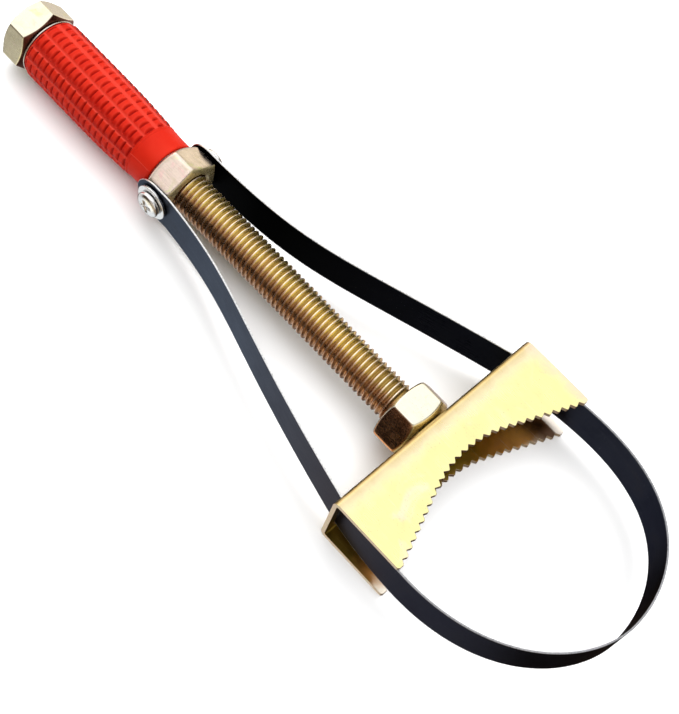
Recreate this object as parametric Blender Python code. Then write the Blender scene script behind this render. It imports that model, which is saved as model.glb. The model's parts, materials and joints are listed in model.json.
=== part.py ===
"""Strap wrench with a screw-drawn steel band.

A hexagon-headed spindle turns inside a toothed sheet-metal jaw. Its right-hand
thread draws a travelling hexagon nut, the collar, along the spindle. Both ends
of a steel band are screwed to the collar, so the band loop in front of the jaw
closes as the collar moves back towards the handle.

Frame: the origin is the centre of the spindle's rear end face. +X runs along
the spindle from the handle to the band loop, +Y runs across the jaw to the
left, +Z is up. All driving dimensions are in millimetres.
"""

import math

import bmesh
import bpy
from mathutils import Matrix, Vector

METRES_PER_MM = 0.001
GAP = 0.3  # clearance between resting neighbours
ROUND_SEGMENTS = 32
SHARP_ANGLE = math.radians(35)
AXIS_DISPLAY_SIZE = 0.01  # metres
SIDES = ((1, "left"), (-1, "right"))  # sign of y, label

# Jaw: bent channel of sheet, open to the front and at both ends
X_JAW = 193.5  # rear face of the jaw's back plate
JAW_WIDTH = 84.7
JAW_DEPTH = 26.8
JAW_HEIGHT = 25.4
SHEET = 1.5
BEND_RADIUS = 2.4  # outside radius
BEND_STEPS = 6
JAW_CORNER = 1.0

# Toothed mouth, the same in the top and the bottom plate
MOUTH_ROOT_X = 12.8  # deepest root, from the jaw's rear face
MOUTH_RADIUS = 42.0
MOUTH_ARC_HALF_Y = 15.7  # the arc turns into straight flanks here
TOOTH_PITCH = 3.07
TOOTH_DEPTH = 1.15
TOOTH_COUNT = 28
TOOTH_TIP_LAND = 0.45
TOOTH_ROOT_LAND = 0.18
MOUTH_CUT_AHEAD = 6.0  # the mouth's cutter ends this far in front of the jaw

# Band slots in the back plate
SLOT_Y = 38.1
SLOT_WIDTH = 2.2
SLOT_HEIGHT = 17.2

# Spindle, M14 x 2 right-hand
PITCH = 2.0
CREST_RADIUS = 6.9
ROOT_RADIUS = 5.95
THREAD_SEGMENTS = 12
X_THREAD_REAR = 71.0
X_THREAD_FRONT = 181.0
SHANK_RADIUS = CREST_RADIUS
SHANK_CHAMFER = 1.2
X_SHANK_FRONT = X_THREAD_REAR - 1.6
X_NECK = X_THREAD_REAR - 0.6
X_SEAT = X_THREAD_FRONT + PITCH + 0.6  # plain ring closing the thread's front end
X_JOURNAL = X_THREAD_FRONT + PITCH + 0.9
JOURNAL_RADIUS = 6.0
GROOVE_RADIUS = 5.3
TIP_CHAMFER = 0.7
X_SPINDLE_FRONT = 200.6
BORE_RADIUS = JOURNAL_RADIUS + GAP  # hole in the jaw's back plate

# Hexagons; chamfers are the axial depths at the (rear, front) corners
ACROSS_FLATS = 22.0
DRIVE_HEX_LENGTH = 10.0
DRIVE_HEX_ROLL = 14.2  # degrees about +X, from one flat facing up
DRIVE_HEX_CHAMFERS = (1.5, 1.5)
SHOULDER_NUT_LENGTH = 11.9
SHOULDER_NUT_CHAMFERS = (1.4, 2.2)
X_COLLAR = 72.5
COLLAR_LENGTH = 10.7
COLLAR_ACROSS_FLATS = 21.4
COLLAR_ROLL = 30.0  # degrees; turns two flats to face +Y and -Y
COLLAR_CHAMFERS = (1.5, 0.5)
COLLAR_BORE_RADIUS = 7.25
CHAMFER_SLOPE = math.tan(math.radians(30))
COUNTERSINK = 0.8  # 45 degrees, at both ends of each nut's bore

# Handle
X_END_WASHER = 10.6
END_WASHER_THICKNESS = 0.5
END_WASHER_RADIUS = 10.9
X_GRIP = X_END_WASHER + END_WASHER_THICKNESS + GAP
GRIP_LENGTH = X_COLLAR - GAP - X_GRIP
GRIP_CUFF_LENGTH = 9.3
GRIP_RADIUS = 11.4
GRIP_CUFF_RADIUS = 10.3
TUBE_OUTER_RADIUS = 8.7
TUBE_INNER_RADIUS = 7.25
TUBE_EDGE = 0.3  # chamfer

# Retaining parts inside the jaw
X_THRUST_WASHER = X_JAW + SHEET + GAP
THRUST_WASHER_RADIUS = 10.0
THRUST_WASHER_THICKNESS = 1.5
LARGE_WASHER_EDGE = 0.2  # chamfer of the thrust and grip end washers
X_GROOVE = X_THRUST_WASHER + THRUST_WASHER_THICKNESS
RING_THICKNESS = 1.0
X_GROOVE_FRONT = X_GROOVE + RING_THICKNESS + 2 * GAP
RING_OUTER_RADIUS = 8.3
RING_INNER_RADIUS = 5.65
RING_MOUTH_ANGLE = 40.0  # degrees of the open mouth
RING_STEPS = 26

# Band
BAND_WIDTH = 16.0
BAND_THICKNESS = 0.6
BAND_SEAT_Y = COLLAR_ACROSS_FLATS / 2 + GAP + BAND_THICKNESS / 2
BAND_END_STEPS = 14
X_BAND_SCREW = X_COLLAR + 6.0
X_LEG_START = X_BAND_SCREW + 6.5
BAND_HOLE_RADIUS = 2.9
LOOP_APEX = (X_JAW + 83.9, 1.5)
LOOP_APEX_ARM = 18.0
LEG_STEPS, SLOT_STEPS, LOOP_STEPS = 18, 7, 16
# Per side of the band, as slopes |dy/dx| and lengths of Bezier control arms:
# leaving the washer, through the slot, and at the widest point (x from the jaw, |y|)
BAND_SIDES = {
    1: dict(
        leg_slope=0.031, leg_arm=43.5,
        slot_slope=0.31, slot_rear_arm=63.2, slot_front_arm=6.1,
        wide_x=36.6, wide_y=43.2, wide_rear_arm=14.0, wide_front_arm=36.2,
    ),
    -1: dict(
        leg_slope=0.093, leg_arm=38.0,
        slot_slope=0.23, slot_rear_arm=69.5, slot_front_arm=6.1,
        wide_x=28.8, wide_y=40.7, wide_rear_arm=9.8, wide_front_arm=36.9,
    ),
}  # fmt: skip

# Band screws, M5 pan head with a cross recess, and their washers
TAPPED_HOLE_RADIUS = 2.5
WASHER_RADIUS = 6.3
WASHER_HOLE_RADIUS = 2.6
WASHER_THICKNESS = 1.0
WASHER_EDGE = 0.25
WASHER_Y = BAND_SEAT_Y + BAND_THICKNESS / 2 + GAP
SCREW_SHANK_RADIUS = 2.2
SCREW_TIP_CHAMFER = 0.4
SCREW_TIP_Y = 7.7
SCREW_HEAD_Y = WASHER_Y + WASHER_THICKNESS + GAP
SCREW_HEAD_RADIUS = 4.6
SCREW_HEAD_HEIGHT = 2.2
SCREW_HEAD_EDGE = 0.1  # the underside's radius is smaller by this
DOME_START = 0.52  # fraction of the head's height where its dome begins
DOME_FULLNESS = 0.8  # exponent on the dome's radius; below 1 is fuller than an ellipse
DOME_STEPS = 6
RECESS_HALF_WIDTH = 0.55
RECESS_HALF_SPAN = 2.5
RECESS_DEPTH = 1.4
RECESS_ROLL = 20.0  # degrees

# name: (base colour, roughness, metallic)
ZINC_PALE = (0.86, 0.80, 0.52)
MATERIALS = {
    "jaw_zinc": ((0.88, 0.83, 0.50), 0.32, 1.0),
    "rod_zinc": ((0.52, 0.40, 0.17), 0.30, 1.0),
    "shoulder_nut_zinc": (ZINC_PALE, 0.30, 1.0),
    "drive_hex_zinc": (ZINC_PALE, 0.30, 1.0),
    "collar_zinc": ((0.80, 0.70, 0.58), 0.35, 1.0),
    "thrust_washer_zinc": ((0.75, 0.73, 0.66), 0.35, 1.0),
    "ring_spring_steel": ((0.10, 0.10, 0.11), 0.4, 1.0),
    "end_washer_zinc": ((0.82, 0.80, 0.75), 0.3, 1.0),
    "tube_steel": ((0.45, 0.44, 0.42), 0.45, 1.0),
    "grip_plastic": ((0.76, 0.03, 0.02), 0.45, 0.0),
    "band_blued_steel": ((0.03, 0.034, 0.045), 0.35, 1.0),
    "strap_washer_zinc": ((0.80, 0.81, 0.82), 0.25, 1.0),
    "screw_zinc": ((0.78, 0.79, 0.80), 0.25, 1.0),
}


# ---- scene, objects and modifiers ------------------------------------------


def clear_scene():
    for obj in list(bpy.data.objects):
        bpy.data.objects.remove(obj, do_unlink=True)


def make_materials():
    for name, (colour, roughness, metallic) in MATERIALS.items():
        material = bpy.data.materials.new(name)
        material.use_nodes = True
        shader = material.node_tree.nodes["Principled BSDF"]
        shader.inputs["Base Color"].default_value = (*colour, 1.0)
        shader.inputs["Roughness"].default_value = roughness
        shader.inputs["Metallic"].default_value = metallic
        material.diffuse_color = (*colour, 1.0)


def make_object(name, shape, material=None, location=(0, 0, 0), parent=None, smooth=True):
    """shape is in millimetres about the object's origin; location is in world millimetres."""
    bmesh.ops.recalc_face_normals(shape, faces=shape.faces)
    bmesh.ops.scale(shape, vec=(METRES_PER_MM,) * 3, verts=shape.verts)
    mesh = bpy.data.meshes.new(name)
    shape.to_mesh(mesh)
    shape.free()
    if smooth:
        mesh.shade_smooth()
        mesh.set_sharp_from_angle(angle=SHARP_ANGLE)
    if material is not None:
        mesh.materials.append(bpy.data.materials[material])
    obj = bpy.data.objects.new(name, mesh)
    bpy.context.scene.collection.objects.link(obj)
    obj.location = Vector(location) * METRES_PER_MM
    if parent is not None:
        obj.parent = parent
        obj.location = Vector(location) * METRES_PER_MM - parent.location
    return obj


def make_axis(name, x):
    empty = bpy.data.objects.new(name, None)
    empty.empty_display_size = AXIS_DISPLAY_SIZE
    bpy.context.scene.collection.objects.link(empty)
    empty.location = Vector((x, 0, 0)) * METRES_PER_MM
    return empty


def cut(obj, name, shape, location, parent=None, operation="DIFFERENCE"):
    """Makes a hidden helper from shape and a boolean modifier on obj that uses it."""
    cutter = make_object(name, shape, None, location, parent, smooth=False)
    cutter.hide_render = True
    cutter.display_type = "WIRE"
    modifier = obj.modifiers.new(f"{operation.title()} {name}", "BOOLEAN")
    modifier.operation = operation
    modifier.object = cutter
    modifier.solver = "EXACT"


# ---- shapes ----------------------------------------------------------------


def turned(profile, segments=ROUND_SEGMENTS):
    """A solid of revolution about X. profile is a closed outline of (x, radius) corners."""
    shape = bmesh.new()
    verts = [shape.verts.new((x, 0.0, radius)) for x, radius in profile]
    following = verts[1:] + verts[:1]
    edges = [
        shape.edges.new((start, end))
        for start, end in zip(verts, following)
        if start.co.z > 0 or end.co.z > 0  # an edge along the axis sweeps no face
    ]
    bmesh.ops.spin(
        shape,
        geom=verts + edges,
        cent=(0, 0, 0),
        axis=(1, 0, 0),
        angle=math.tau,
        steps=segments,
        use_merge=True,
    )
    bmesh.ops.remove_doubles(shape, verts=shape.verts, dist=1e-5)
    return shape


def cylinder(rear, front, radius, segments):
    return turned([(rear, 0), (rear, radius), (front, radius), (front, 0)], segments)


def washer(inner, outer, thickness, edge, segments=ROUND_SEGMENTS):
    """A flat ring or tube along +X, chamfered by edge on its outer rims."""
    profile = [
        (0.0, inner),
        (0.0, outer - edge),
        (edge, outer),
        (thickness - edge, outer),
        (thickness, outer - edge),
        (thickness, inner),
    ]
    return turned(profile, segments)


def prism(outline, low, high, axis="Z"):
    """An outline extruded from low to high. Corners are Z: (x, y); Y: (x, z); X: (y, z)."""

    def place(first, second, along):
        return {
            "Z": (first, second, along),
            "Y": (first, along, second),
            "X": (along, first, second),
        }[axis]

    shape = bmesh.new()
    face = shape.faces.new([shape.verts.new(place(*corner, low)) for corner in outline])
    extruded = bmesh.ops.extrude_face_region(shape, geom=[face])["geom"]
    moved = [part for part in extruded if isinstance(part, bmesh.types.BMVert)]
    bmesh.ops.translate(shape, verts=moved, vec=place(0, 0, high - low))
    return shape


def rotated(shape, angle, axis):
    bmesh.ops.rotate(shape, verts=shape.verts, matrix=Matrix.Rotation(angle, 3, axis))
    return shape


def outward(shape, side):
    """Turns a shape made along +X so that it points along +Y or -Y."""
    return rotated(shape, side * math.pi / 2, "Z")


def arc(centre_x, centre_y, radius, start, end, steps):
    """Points on an arc from start to end, in degrees."""
    angles = [math.radians(start + (end - start) * i / steps) for i in range(steps + 1)]
    return [
        (centre_x + radius * math.cos(angle), centre_y + radius * math.sin(angle))
        for angle in angles
    ]


def bezier(start, start_control, end_control, end, steps):
    """Points on a cubic curve, leaving out its start."""
    points = []
    for i in range(1, steps + 1):
        done = i / steps
        left = 1 - done
        weights = (left**3, 3 * left * left * done, 3 * left * done * done, done**3)
        points.append(
            tuple(
                sum(weight * value for weight, value in zip(weights, values))
                for values in zip(start, start_control, end_control, end)
            )
        )
    return points


# ---- nuts ------------------------------------------------------------------


def hexagon(across_flats, flat_angle):
    """Six (y, z) corners; one flat's normal points flat_angle radians from +Z about +X."""
    radius = across_flats / math.sqrt(3)
    angles = [math.pi / 3 * i + flat_angle for i in range(6)]
    return [(radius * math.cos(angle), radius * math.sin(angle)) for angle in angles]


def chamfer_envelope(corner, length, chamfers):
    """A turned solid around a nut, whose conical ends trim the nut's corners."""
    overlap = 1.0  # radially beyond the corners
    overhang = 0.5  # axially beyond the end faces
    rear, front = chamfers
    rear_inner = corner - rear / CHAMFER_SLOPE
    front_inner = corner - front / CHAMFER_SLOPE
    profile = [
        (-overhang, 0.0),
        (-overhang, rear_inner),
        (0.0, rear_inner),
        (rear + overlap * CHAMFER_SLOPE, corner + overlap),
        (length - front - overlap * CHAMFER_SLOPE, corner + overlap),
        (length, front_inner),
        (length + overhang, front_inner),
        (length + overhang, 0.0),
    ]
    return turned(profile, 36)


def countersunk_bore(radius, length):
    overhang = 1.0
    mouth_radius = radius + COUNTERSINK + overhang
    profile = [
        (-overhang, 0.0),
        (-overhang, mouth_radius),
        (COUNTERSINK, radius),
        (length - COUNTERSINK, radius),
        (length + overhang, mouth_radius),
        (length + overhang, 0.0),
    ]
    return turned(profile, 24)


def nut(name, material, axis, x, length, across_flats, roll, bore_radius, chamfers):
    """Hexagon nut, rolled by roll degrees about +X from one flat facing up."""
    place = (x, 0, 0)
    outline = hexagon(across_flats, math.radians(roll))
    body = make_object(name, prism(outline, 0, length, "X"), material, place, axis)
    envelope = chamfer_envelope(across_flats / math.sqrt(3), length, chamfers)
    cut(body, f"{name}_chamfers", envelope, place, axis, "INTERSECT")
    cut(body, f"{name}_bore", countersunk_bore(bore_radius, length), place, axis)
    return body


# ---- jaw -------------------------------------------------------------------


def channel_outline():
    """The channel's section in (x, z), from the jaw's rear face."""
    half = JAW_HEIGHT / 2
    inner_radius = BEND_RADIUS - SHEET
    bend_x, bend_z = BEND_RADIUS, half - BEND_RADIUS  # centre of the upper bend
    return [
        (JAW_DEPTH, half),
        *arc(bend_x, bend_z, BEND_RADIUS, 90, 180, BEND_STEPS),
        *arc(bend_x, -bend_z, BEND_RADIUS, 180, 270, BEND_STEPS),
        (JAW_DEPTH, -half),
        (JAW_DEPTH, -half + SHEET),
        *arc(bend_x, -bend_z, inner_radius, 270, 180, BEND_STEPS),
        *arc(bend_x, bend_z, inner_radius, 180, 90, BEND_STEPS),
        (JAW_DEPTH, half - SHEET),
    ]


def mouth_point(distance, offset):
    """A point at arc length distance from the mouth's middle, moved offset towards the loop."""
    arc_length = MOUTH_RADIUS * math.asin(MOUTH_ARC_HALF_Y / MOUTH_RADIUS)
    angle = min(abs(distance), arc_length) / MOUTH_RADIUS
    beyond = max(abs(distance) - arc_length, 0.0)
    side = 1 if distance >= 0 else -1
    x = MOUTH_ROOT_X + MOUTH_RADIUS * (1 - math.cos(angle)) + beyond * math.sin(angle)
    y = MOUTH_RADIUS * math.sin(angle) + beyond * math.cos(angle)
    return x + offset * math.cos(angle), side * (y - offset * math.sin(angle))


def mouth_outline():
    """Everything in front of the teeth: a zigzag of roots and tips, closed ahead of the jaw."""
    first_root = -(TOOTH_COUNT - 1) / 2 * TOOTH_PITCH
    points = [mouth_point(first_root - TOOTH_PITCH / 2, TOOTH_DEPTH)]
    for i in range(TOOTH_COUNT):
        root = first_root + i * TOOTH_PITCH
        points.append(mouth_point(root - TOOTH_ROOT_LAND / 2, 0.0))
        points.append(mouth_point(root + TOOTH_ROOT_LAND / 2, 0.0))
        tip = root + TOOTH_PITCH / 2
        if i < TOOTH_COUNT - 1:
            points.append(mouth_point(tip - TOOTH_TIP_LAND / 2, TOOTH_DEPTH))
            points.append(mouth_point(tip + TOOTH_TIP_LAND / 2, TOOTH_DEPTH))
        else:
            points.append(mouth_point(tip, TOOTH_DEPTH))
    ahead = JAW_DEPTH + MOUTH_CUT_AHEAD
    return points + [(ahead, points[-1][1]), (ahead, points[0][1])]


def slot_outline(centre_y):
    """A round-ended upright slot in (y, z)."""
    radius = SLOT_WIDTH / 2
    end_z = SLOT_HEIGHT / 2 - radius
    return arc(centre_y, end_z, radius, 0, 180, 6) + arc(
        centre_y, -end_z, radius, 180, 360, 6
    )


def is_plate_corner(edge):
    """True for an edge through the sheet at a front corner of the top or bottom plate."""
    tolerance = 1e-4
    start, end = (vert.co for vert in edge.verts)
    at_corner = all(
        abs(point.x - JAW_DEPTH) < tolerance
        and abs(abs(point.y) - JAW_WIDTH / 2) < tolerance
        for point in (start, end)
    )
    return at_corner and abs(abs(start.z - end.z) - SHEET) < tolerance


def build_jaw():
    place = (X_JAW, 0, 0)
    shape = prism(channel_outline(), -JAW_WIDTH / 2, JAW_WIDTH / 2, "Y")
    bmesh.ops.bevel(
        shape,
        geom=[edge for edge in shape.edges if is_plate_corner(edge)],
        offset=JAW_CORNER,
        segments=3,
        profile=0.5,
        affect="EDGES",
    )
    jaw = make_object("jaw_yoke", shape, "jaw_zinc", place)
    height = JAW_HEIGHT / 2 + 1
    cut(jaw, "jaw_mouth", prism(mouth_outline(), -height, height), place)
    cut(jaw, "jaw_bore", cylinder(-1, 4, BORE_RADIUS, 28), place)
    for side, label in SIDES:
        slot = prism(slot_outline(side * SLOT_Y), -1, 3, "X")
        cut(jaw, f"jaw_slot_{label}", slot, place)


# ---- spindle ---------------------------------------------------------------


def rod_vertex(shape, x, radius, k):
    """The k-th vertex round the rod, counted from +Z towards -Y."""
    angle = math.tau * k / THREAD_SEGMENTS
    return shape.verts.new((x, -radius * math.sin(angle), radius * math.cos(angle)))


def skin(shape, rear, front, count=THREAD_SEGMENTS):
    """The first count quads between two rings; by default all the way round."""
    for k in range(count):
        following = (k + 1) % THREAD_SEGMENTS
        shape.faces.new((rear[k], rear[following], front[following], front[k]))


def plain_section(shape, stations):
    """Skinned rings at (x, radius) stations; returns the rings."""
    rings = [
        [rod_vertex(shape, x, radius, k) for k in range(THREAD_SEGMENTS)]
        for x, radius in stations
    ]
    for rear, front in zip(rings, rings[1:]):
        skin(shape, rear, front)
    return rings


def fan(shape, centre, rim):
    for start, end in zip(rim, rim[1:]):
        shape.faces.new((centre, start, end))


def thread_section(shape):
    """Helical rows, alternately root and crest, half a pitch apart; returns the rows.

    The helix is right-handed: going round from +Z towards -Y, it moves towards +X.
    """
    half_turns = 2 * round((X_THREAD_FRONT - X_THREAD_REAR) / PITCH)
    rows = []
    for i in range(half_turns + 1):
        row = []
        for k in range(THREAD_SEGMENTS):
            position = i + 2 * k / THREAD_SEGMENTS  # in half pitches
            # the crest rises and fades over one pitch at each end
            run_in = min(max((position - 2.0) / 2.0, 0.0), 1.0)
            run_out = min(max((half_turns - position) / 2.0, 0.0), 1.0)
            radius = ROOT_RADIUS
            if i % 2:
                radius += (CREST_RADIUS - ROOT_RADIUS) * min(run_in, run_out)
            x = X_THREAD_REAR + PITCH / 2 * position
            row.append(rod_vertex(shape, x, radius, k))
        rows.append(row)
    for rear, front in zip(rows, rows[1:]):
        skin(shape, rear, front, THREAD_SEGMENTS - 1)
    # across the seam each row's end meets the start of the row one pitch on
    for i in range(half_turns - 2):
        shape.faces.new((rows[i][-1], rows[i + 2][0], rows[i + 3][0], rows[i + 1][-1]))
    shape.faces.new((rows[-3][-1], rows[-1][0], rows[-2][-1]))
    return rows


def threaded_rod():
    """The spindle as one skin: turned rear shank, helical thread, turned front journal."""
    shape = bmesh.new()
    rows = thread_section(shape)

    rear_rings = plain_section(
        shape,
        [
            (0.0, SHANK_RADIUS - SHANK_CHAMFER),
            (SHANK_CHAMFER, SHANK_RADIUS),
            (X_SHANK_FRONT, SHANK_RADIUS),
            (X_NECK, ROOT_RADIUS),
        ],
    )
    shape.faces.new(rear_rings[0])
    neck = rear_rings[-1]
    skin(shape, neck, rows[0], THREAD_SEGMENTS - 1)
    fan(shape, neck[-1], [neck[0], rows[0][0], rows[1][0], rows[2][0], rows[0][-1]])

    # seat, journal, ring groove, chamfered tip
    front_rings = plain_section(
        shape,
        [
            (X_SEAT, ROOT_RADIUS),
            (X_JOURNAL, JOURNAL_RADIUS),
            (X_GROOVE, JOURNAL_RADIUS),
            (X_GROOVE, GROOVE_RADIUS),
            (X_GROOVE_FRONT, GROOVE_RADIUS),
            (X_GROOVE_FRONT, JOURNAL_RADIUS),
            (X_SPINDLE_FRONT - TIP_CHAMFER, JOURNAL_RADIUS),
            (X_SPINDLE_FRONT, JOURNAL_RADIUS - TIP_CHAMFER),
        ],
    )
    seat = front_rings[0]
    skin(shape, rows[-1], seat, THREAD_SEGMENTS - 1)
    fan(shape, seat[-1], [rows[-1][-1], rows[-2][-1], rows[-1][0], seat[0]])
    shape.faces.new(front_rings[-1])
    return shape


def retaining_ring():
    """An open spring ring lying across the spindle, its mouth at the top."""
    start = 90 + RING_MOUTH_ANGLE / 2
    end = 450 - RING_MOUTH_ANGLE / 2
    outline = arc(0, 0, RING_OUTER_RADIUS, start, end, RING_STEPS)
    outline += arc(0, 0, RING_INNER_RADIUS, end, start, RING_STEPS)
    return prism(outline, 0, RING_THICKNESS, "X")


def thrust_washer():
    return washer(
        JOURNAL_RADIUS + GAP, THRUST_WASHER_RADIUS, THRUST_WASHER_THICKNESS, LARGE_WASHER_EDGE
    )


def grip_end_washer():
    return washer(
        SHANK_RADIUS + GAP, END_WASHER_RADIUS, END_WASHER_THICKNESS, LARGE_WASHER_EDGE
    )


def handle_tube():
    return washer(TUBE_INNER_RADIUS, TUBE_OUTER_RADIUS, GRIP_LENGTH, TUBE_EDGE)


def grip_sleeve():
    """Sleeve with rounded ends and a narrower cuff at the front."""
    bore = TUBE_OUTER_RADIUS + GAP
    cuff_x = GRIP_LENGTH - GRIP_CUFF_LENGTH
    profile = [
        (0.0, bore),
        (0.0, GRIP_RADIUS - 0.9),
        (0.3, GRIP_RADIUS - 0.35),
        (0.9, GRIP_RADIUS),
        (cuff_x - 0.6, GRIP_RADIUS),
        (cuff_x, GRIP_CUFF_RADIUS),
        (GRIP_LENGTH - 0.8, GRIP_CUFF_RADIUS),
        (GRIP_LENGTH - 0.2, GRIP_CUFF_RADIUS - 0.25),
        (GRIP_LENGTH, GRIP_CUFF_RADIUS - 0.7),
        (GRIP_LENGTH, bore),
    ]
    return turned(profile, 36)


def build_spindle(axis):
    nut(
        "drive_hex_nut",
        "drive_hex_zinc",
        axis,
        x=0.0,
        length=DRIVE_HEX_LENGTH,
        across_flats=ACROSS_FLATS,
        roll=DRIVE_HEX_ROLL,
        bore_radius=SHANK_RADIUS + GAP,
        chamfers=DRIVE_HEX_CHAMFERS,
    )
    nut(
        "shoulder_nut",
        "shoulder_nut_zinc",
        axis,
        x=X_JAW - GAP - SHOULDER_NUT_LENGTH,
        length=SHOULDER_NUT_LENGTH,
        across_flats=ACROSS_FLATS,
        roll=0.0,
        bore_radius=CREST_RADIUS + GAP,
        chamfers=SHOULDER_NUT_CHAMFERS,
    )
    for name, shape, material, x in (
        ("threaded_rod", threaded_rod(), "rod_zinc", 0),
        ("thrust_washer", thrust_washer(), "thrust_washer_zinc", X_THRUST_WASHER),
        ("retaining_ring", retaining_ring(), "ring_spring_steel", X_GROOVE + GAP),
        ("grip_end_washer", grip_end_washer(), "end_washer_zinc", X_END_WASHER),
        ("handle_tube", handle_tube(), "tube_steel", X_GRIP),
        ("grip_sleeve", grip_sleeve(), "grip_plastic", X_GRIP),
    ):
        make_object(name, shape, material, (x, 0, 0), axis)


# ---- collar, band and its fasteners ----------------------------------------


def build_collar(axis):
    collar = nut(
        "collar_nut",
        "collar_zinc",
        axis,
        x=X_COLLAR,
        length=COLLAR_LENGTH,
        across_flats=COLLAR_ACROSS_FLATS,
        roll=COLLAR_ROLL,
        bore_radius=COLLAR_BORE_RADIUS,
        chamfers=COLLAR_CHAMFERS,
    )
    holes = outward(cylinder(-20, 20, TAPPED_HOLE_RADIUS, 20), 1)
    cut(collar, "collar_tapped_holes", holes, (X_BAND_SCREW, 0, 0), axis)


def band_half(side):
    """The band's centre line on one side, in (x, y), from the leg's start to the loop's apex."""
    bend = BAND_SIDES[side]
    start = Vector((X_LEG_START, side * BAND_SEAT_Y))
    slot = Vector((X_JAW + SHEET / 2, side * SLOT_Y))
    wide = Vector((X_JAW + bend["wide_x"], side * bend["wide_y"]))
    apex = Vector(LOOP_APEX)
    leg_arm = bend["leg_arm"] * Vector((1, side * bend["leg_slope"]))
    slot_direction = Vector((1, side * bend["slot_slope"])).normalized()
    forward = Vector((1, 0))
    leg = bezier(
        start,
        start + leg_arm,
        slot - bend["slot_rear_arm"] * slot_direction,
        slot,
        LEG_STEPS,
    )
    spread = bezier(
        slot,
        slot + bend["slot_front_arm"] * slot_direction,
        wide - bend["wide_rear_arm"] * forward,
        wide,
        SLOT_STEPS,
    )
    loop = bezier(
        wide,
        wide + bend["wide_front_arm"] * forward,
        apex + Vector((0, side * LOOP_APEX_ARM)),
        apex,
        LOOP_STEPS,
    )
    return [tuple(start)] + leg + spread + loop


def band_strip():
    """A flat strip bent along its centre line, with half-round ends at the screws."""
    half = BAND_WIDTH / 2
    shape = bmesh.new()

    def row(x, y):
        return [shape.verts.new((x - X_BAND_SCREW, y, z)) for z in (-half, half)]

    line = band_half(1) + band_half(-1)[::-1][1:]
    rows = [row(x, y) for x, y in line]
    for side, (lower, upper) in ((1, rows[0]), (-1, rows[-1])):
        y = side * BAND_SEAT_Y
        seat_lower, seat_upper = row(X_BAND_SCREW, y)
        shape.faces.new((lower, upper, seat_upper, seat_lower))
        angles = [math.pi * i / BAND_END_STEPS for i in range(1, BAND_END_STEPS)]
        nose = [
            shape.verts.new((-half * math.sin(angle), y, half * math.cos(angle)))
            for angle in angles
        ]
        shape.faces.new([seat_upper, *nose, seat_lower])
    for (lower, upper), (next_lower, next_upper) in zip(rows, rows[1:]):
        shape.faces.new((lower, upper, next_upper, next_lower))
    return shape


def build_band(axis):
    place = (X_BAND_SCREW, 0, 0)
    band = make_object("strap_band", band_strip(), "band_blued_steel", place, axis)
    thickness = band.modifiers.new("Sheet thickness", "SOLIDIFY")
    thickness.thickness = BAND_THICKNESS * METRES_PER_MM
    thickness.offset = 0.0
    thickness.use_even_offset = True
    hole = outward(cylinder(-30, 30, BAND_HOLE_RADIUS, 24), 1)
    cut(band, "band_holes", hole, place, axis)


def screw_shape():
    """A pan-head screw along +X, the underside of its head at x = 0."""
    tip = SCREW_TIP_Y - SCREW_HEAD_Y
    angles = [math.pi / 2 * i / DOME_STEPS for i in range(DOME_STEPS)]
    dome = [
        (
            SCREW_HEAD_HEIGHT * (DOME_START + (1 - DOME_START) * math.sin(angle)),
            SCREW_HEAD_RADIUS * math.cos(angle) ** DOME_FULLNESS,
        )
        for angle in angles
    ]
    profile = [
        (tip, 0.0),
        (tip, SCREW_SHANK_RADIUS - SCREW_TIP_CHAMFER),
        (tip + SCREW_TIP_CHAMFER, SCREW_SHANK_RADIUS),
        (0.0, SCREW_SHANK_RADIUS),
        (0.0, SCREW_HEAD_RADIUS - SCREW_HEAD_EDGE),
        *dome,
        (SCREW_HEAD_HEIGHT, 0.0),
    ]
    return turned(profile, 20)


def recess_shape():
    """The cross-shaped recess in a screw head, along +X."""
    width, span = RECESS_HALF_WIDTH, RECESS_HALF_SPAN
    cross = [
        (width, width), (width, span), (-width, span),
        (-width, width), (-span, width), (-span, -width),
        (-width, -width), (-width, -span), (width, -span),
        (width, -width), (span, -width), (span, width),
    ]  # fmt: skip
    recess = prism(cross, SCREW_HEAD_HEIGHT - RECESS_DEPTH, SCREW_HEAD_HEIGHT + 1, "X")
    return rotated(recess, math.radians(RECESS_ROLL), "X")


def build_fasteners(axis, side, label):
    ring = washer(WASHER_HOLE_RADIUS, WASHER_RADIUS, WASHER_THICKNESS, WASHER_EDGE, 24)
    make_object(
        f"strap_washer_{label}",
        outward(ring, side),
        "strap_washer_zinc",
        (X_BAND_SCREW, side * WASHER_Y, 0),
        axis,
    )
    place = (X_BAND_SCREW, side * SCREW_HEAD_Y, 0)
    shape = outward(screw_shape(), side)
    screw = make_object(f"strap_screw_{label}", shape, "screw_zinc", place, axis)
    cut(screw, f"screw_recess_{label}", outward(recess_shape(), side), place, axis)


def main():
    clear_scene()
    make_materials()
    build_jaw()
    spindle_axis = make_axis("spindle_axis", X_JAW)
    collar_axis = make_axis("collar_axis", X_BAND_SCREW)
    build_spindle(spindle_axis)
    build_collar(collar_axis)
    build_band(collar_axis)
    for side, label in SIDES:
        build_fasteners(collar_axis, side, label)
    bpy.context.view_layer.update()


main()
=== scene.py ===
"""Looks of the strap wrench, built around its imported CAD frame.

Lengths inside this script are in millimetres in the frame's own axes: +X along
the spindle from the handle to the loop, +Y across the jaw, +Z up. Every piece
takes its place from the CAD node that it stands for.
"""

import json
import math

import bpy
import numpy as np
from mathutils import Matrix, Vector
from mathutils.geometry import delaunay_2d_cdt


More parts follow.
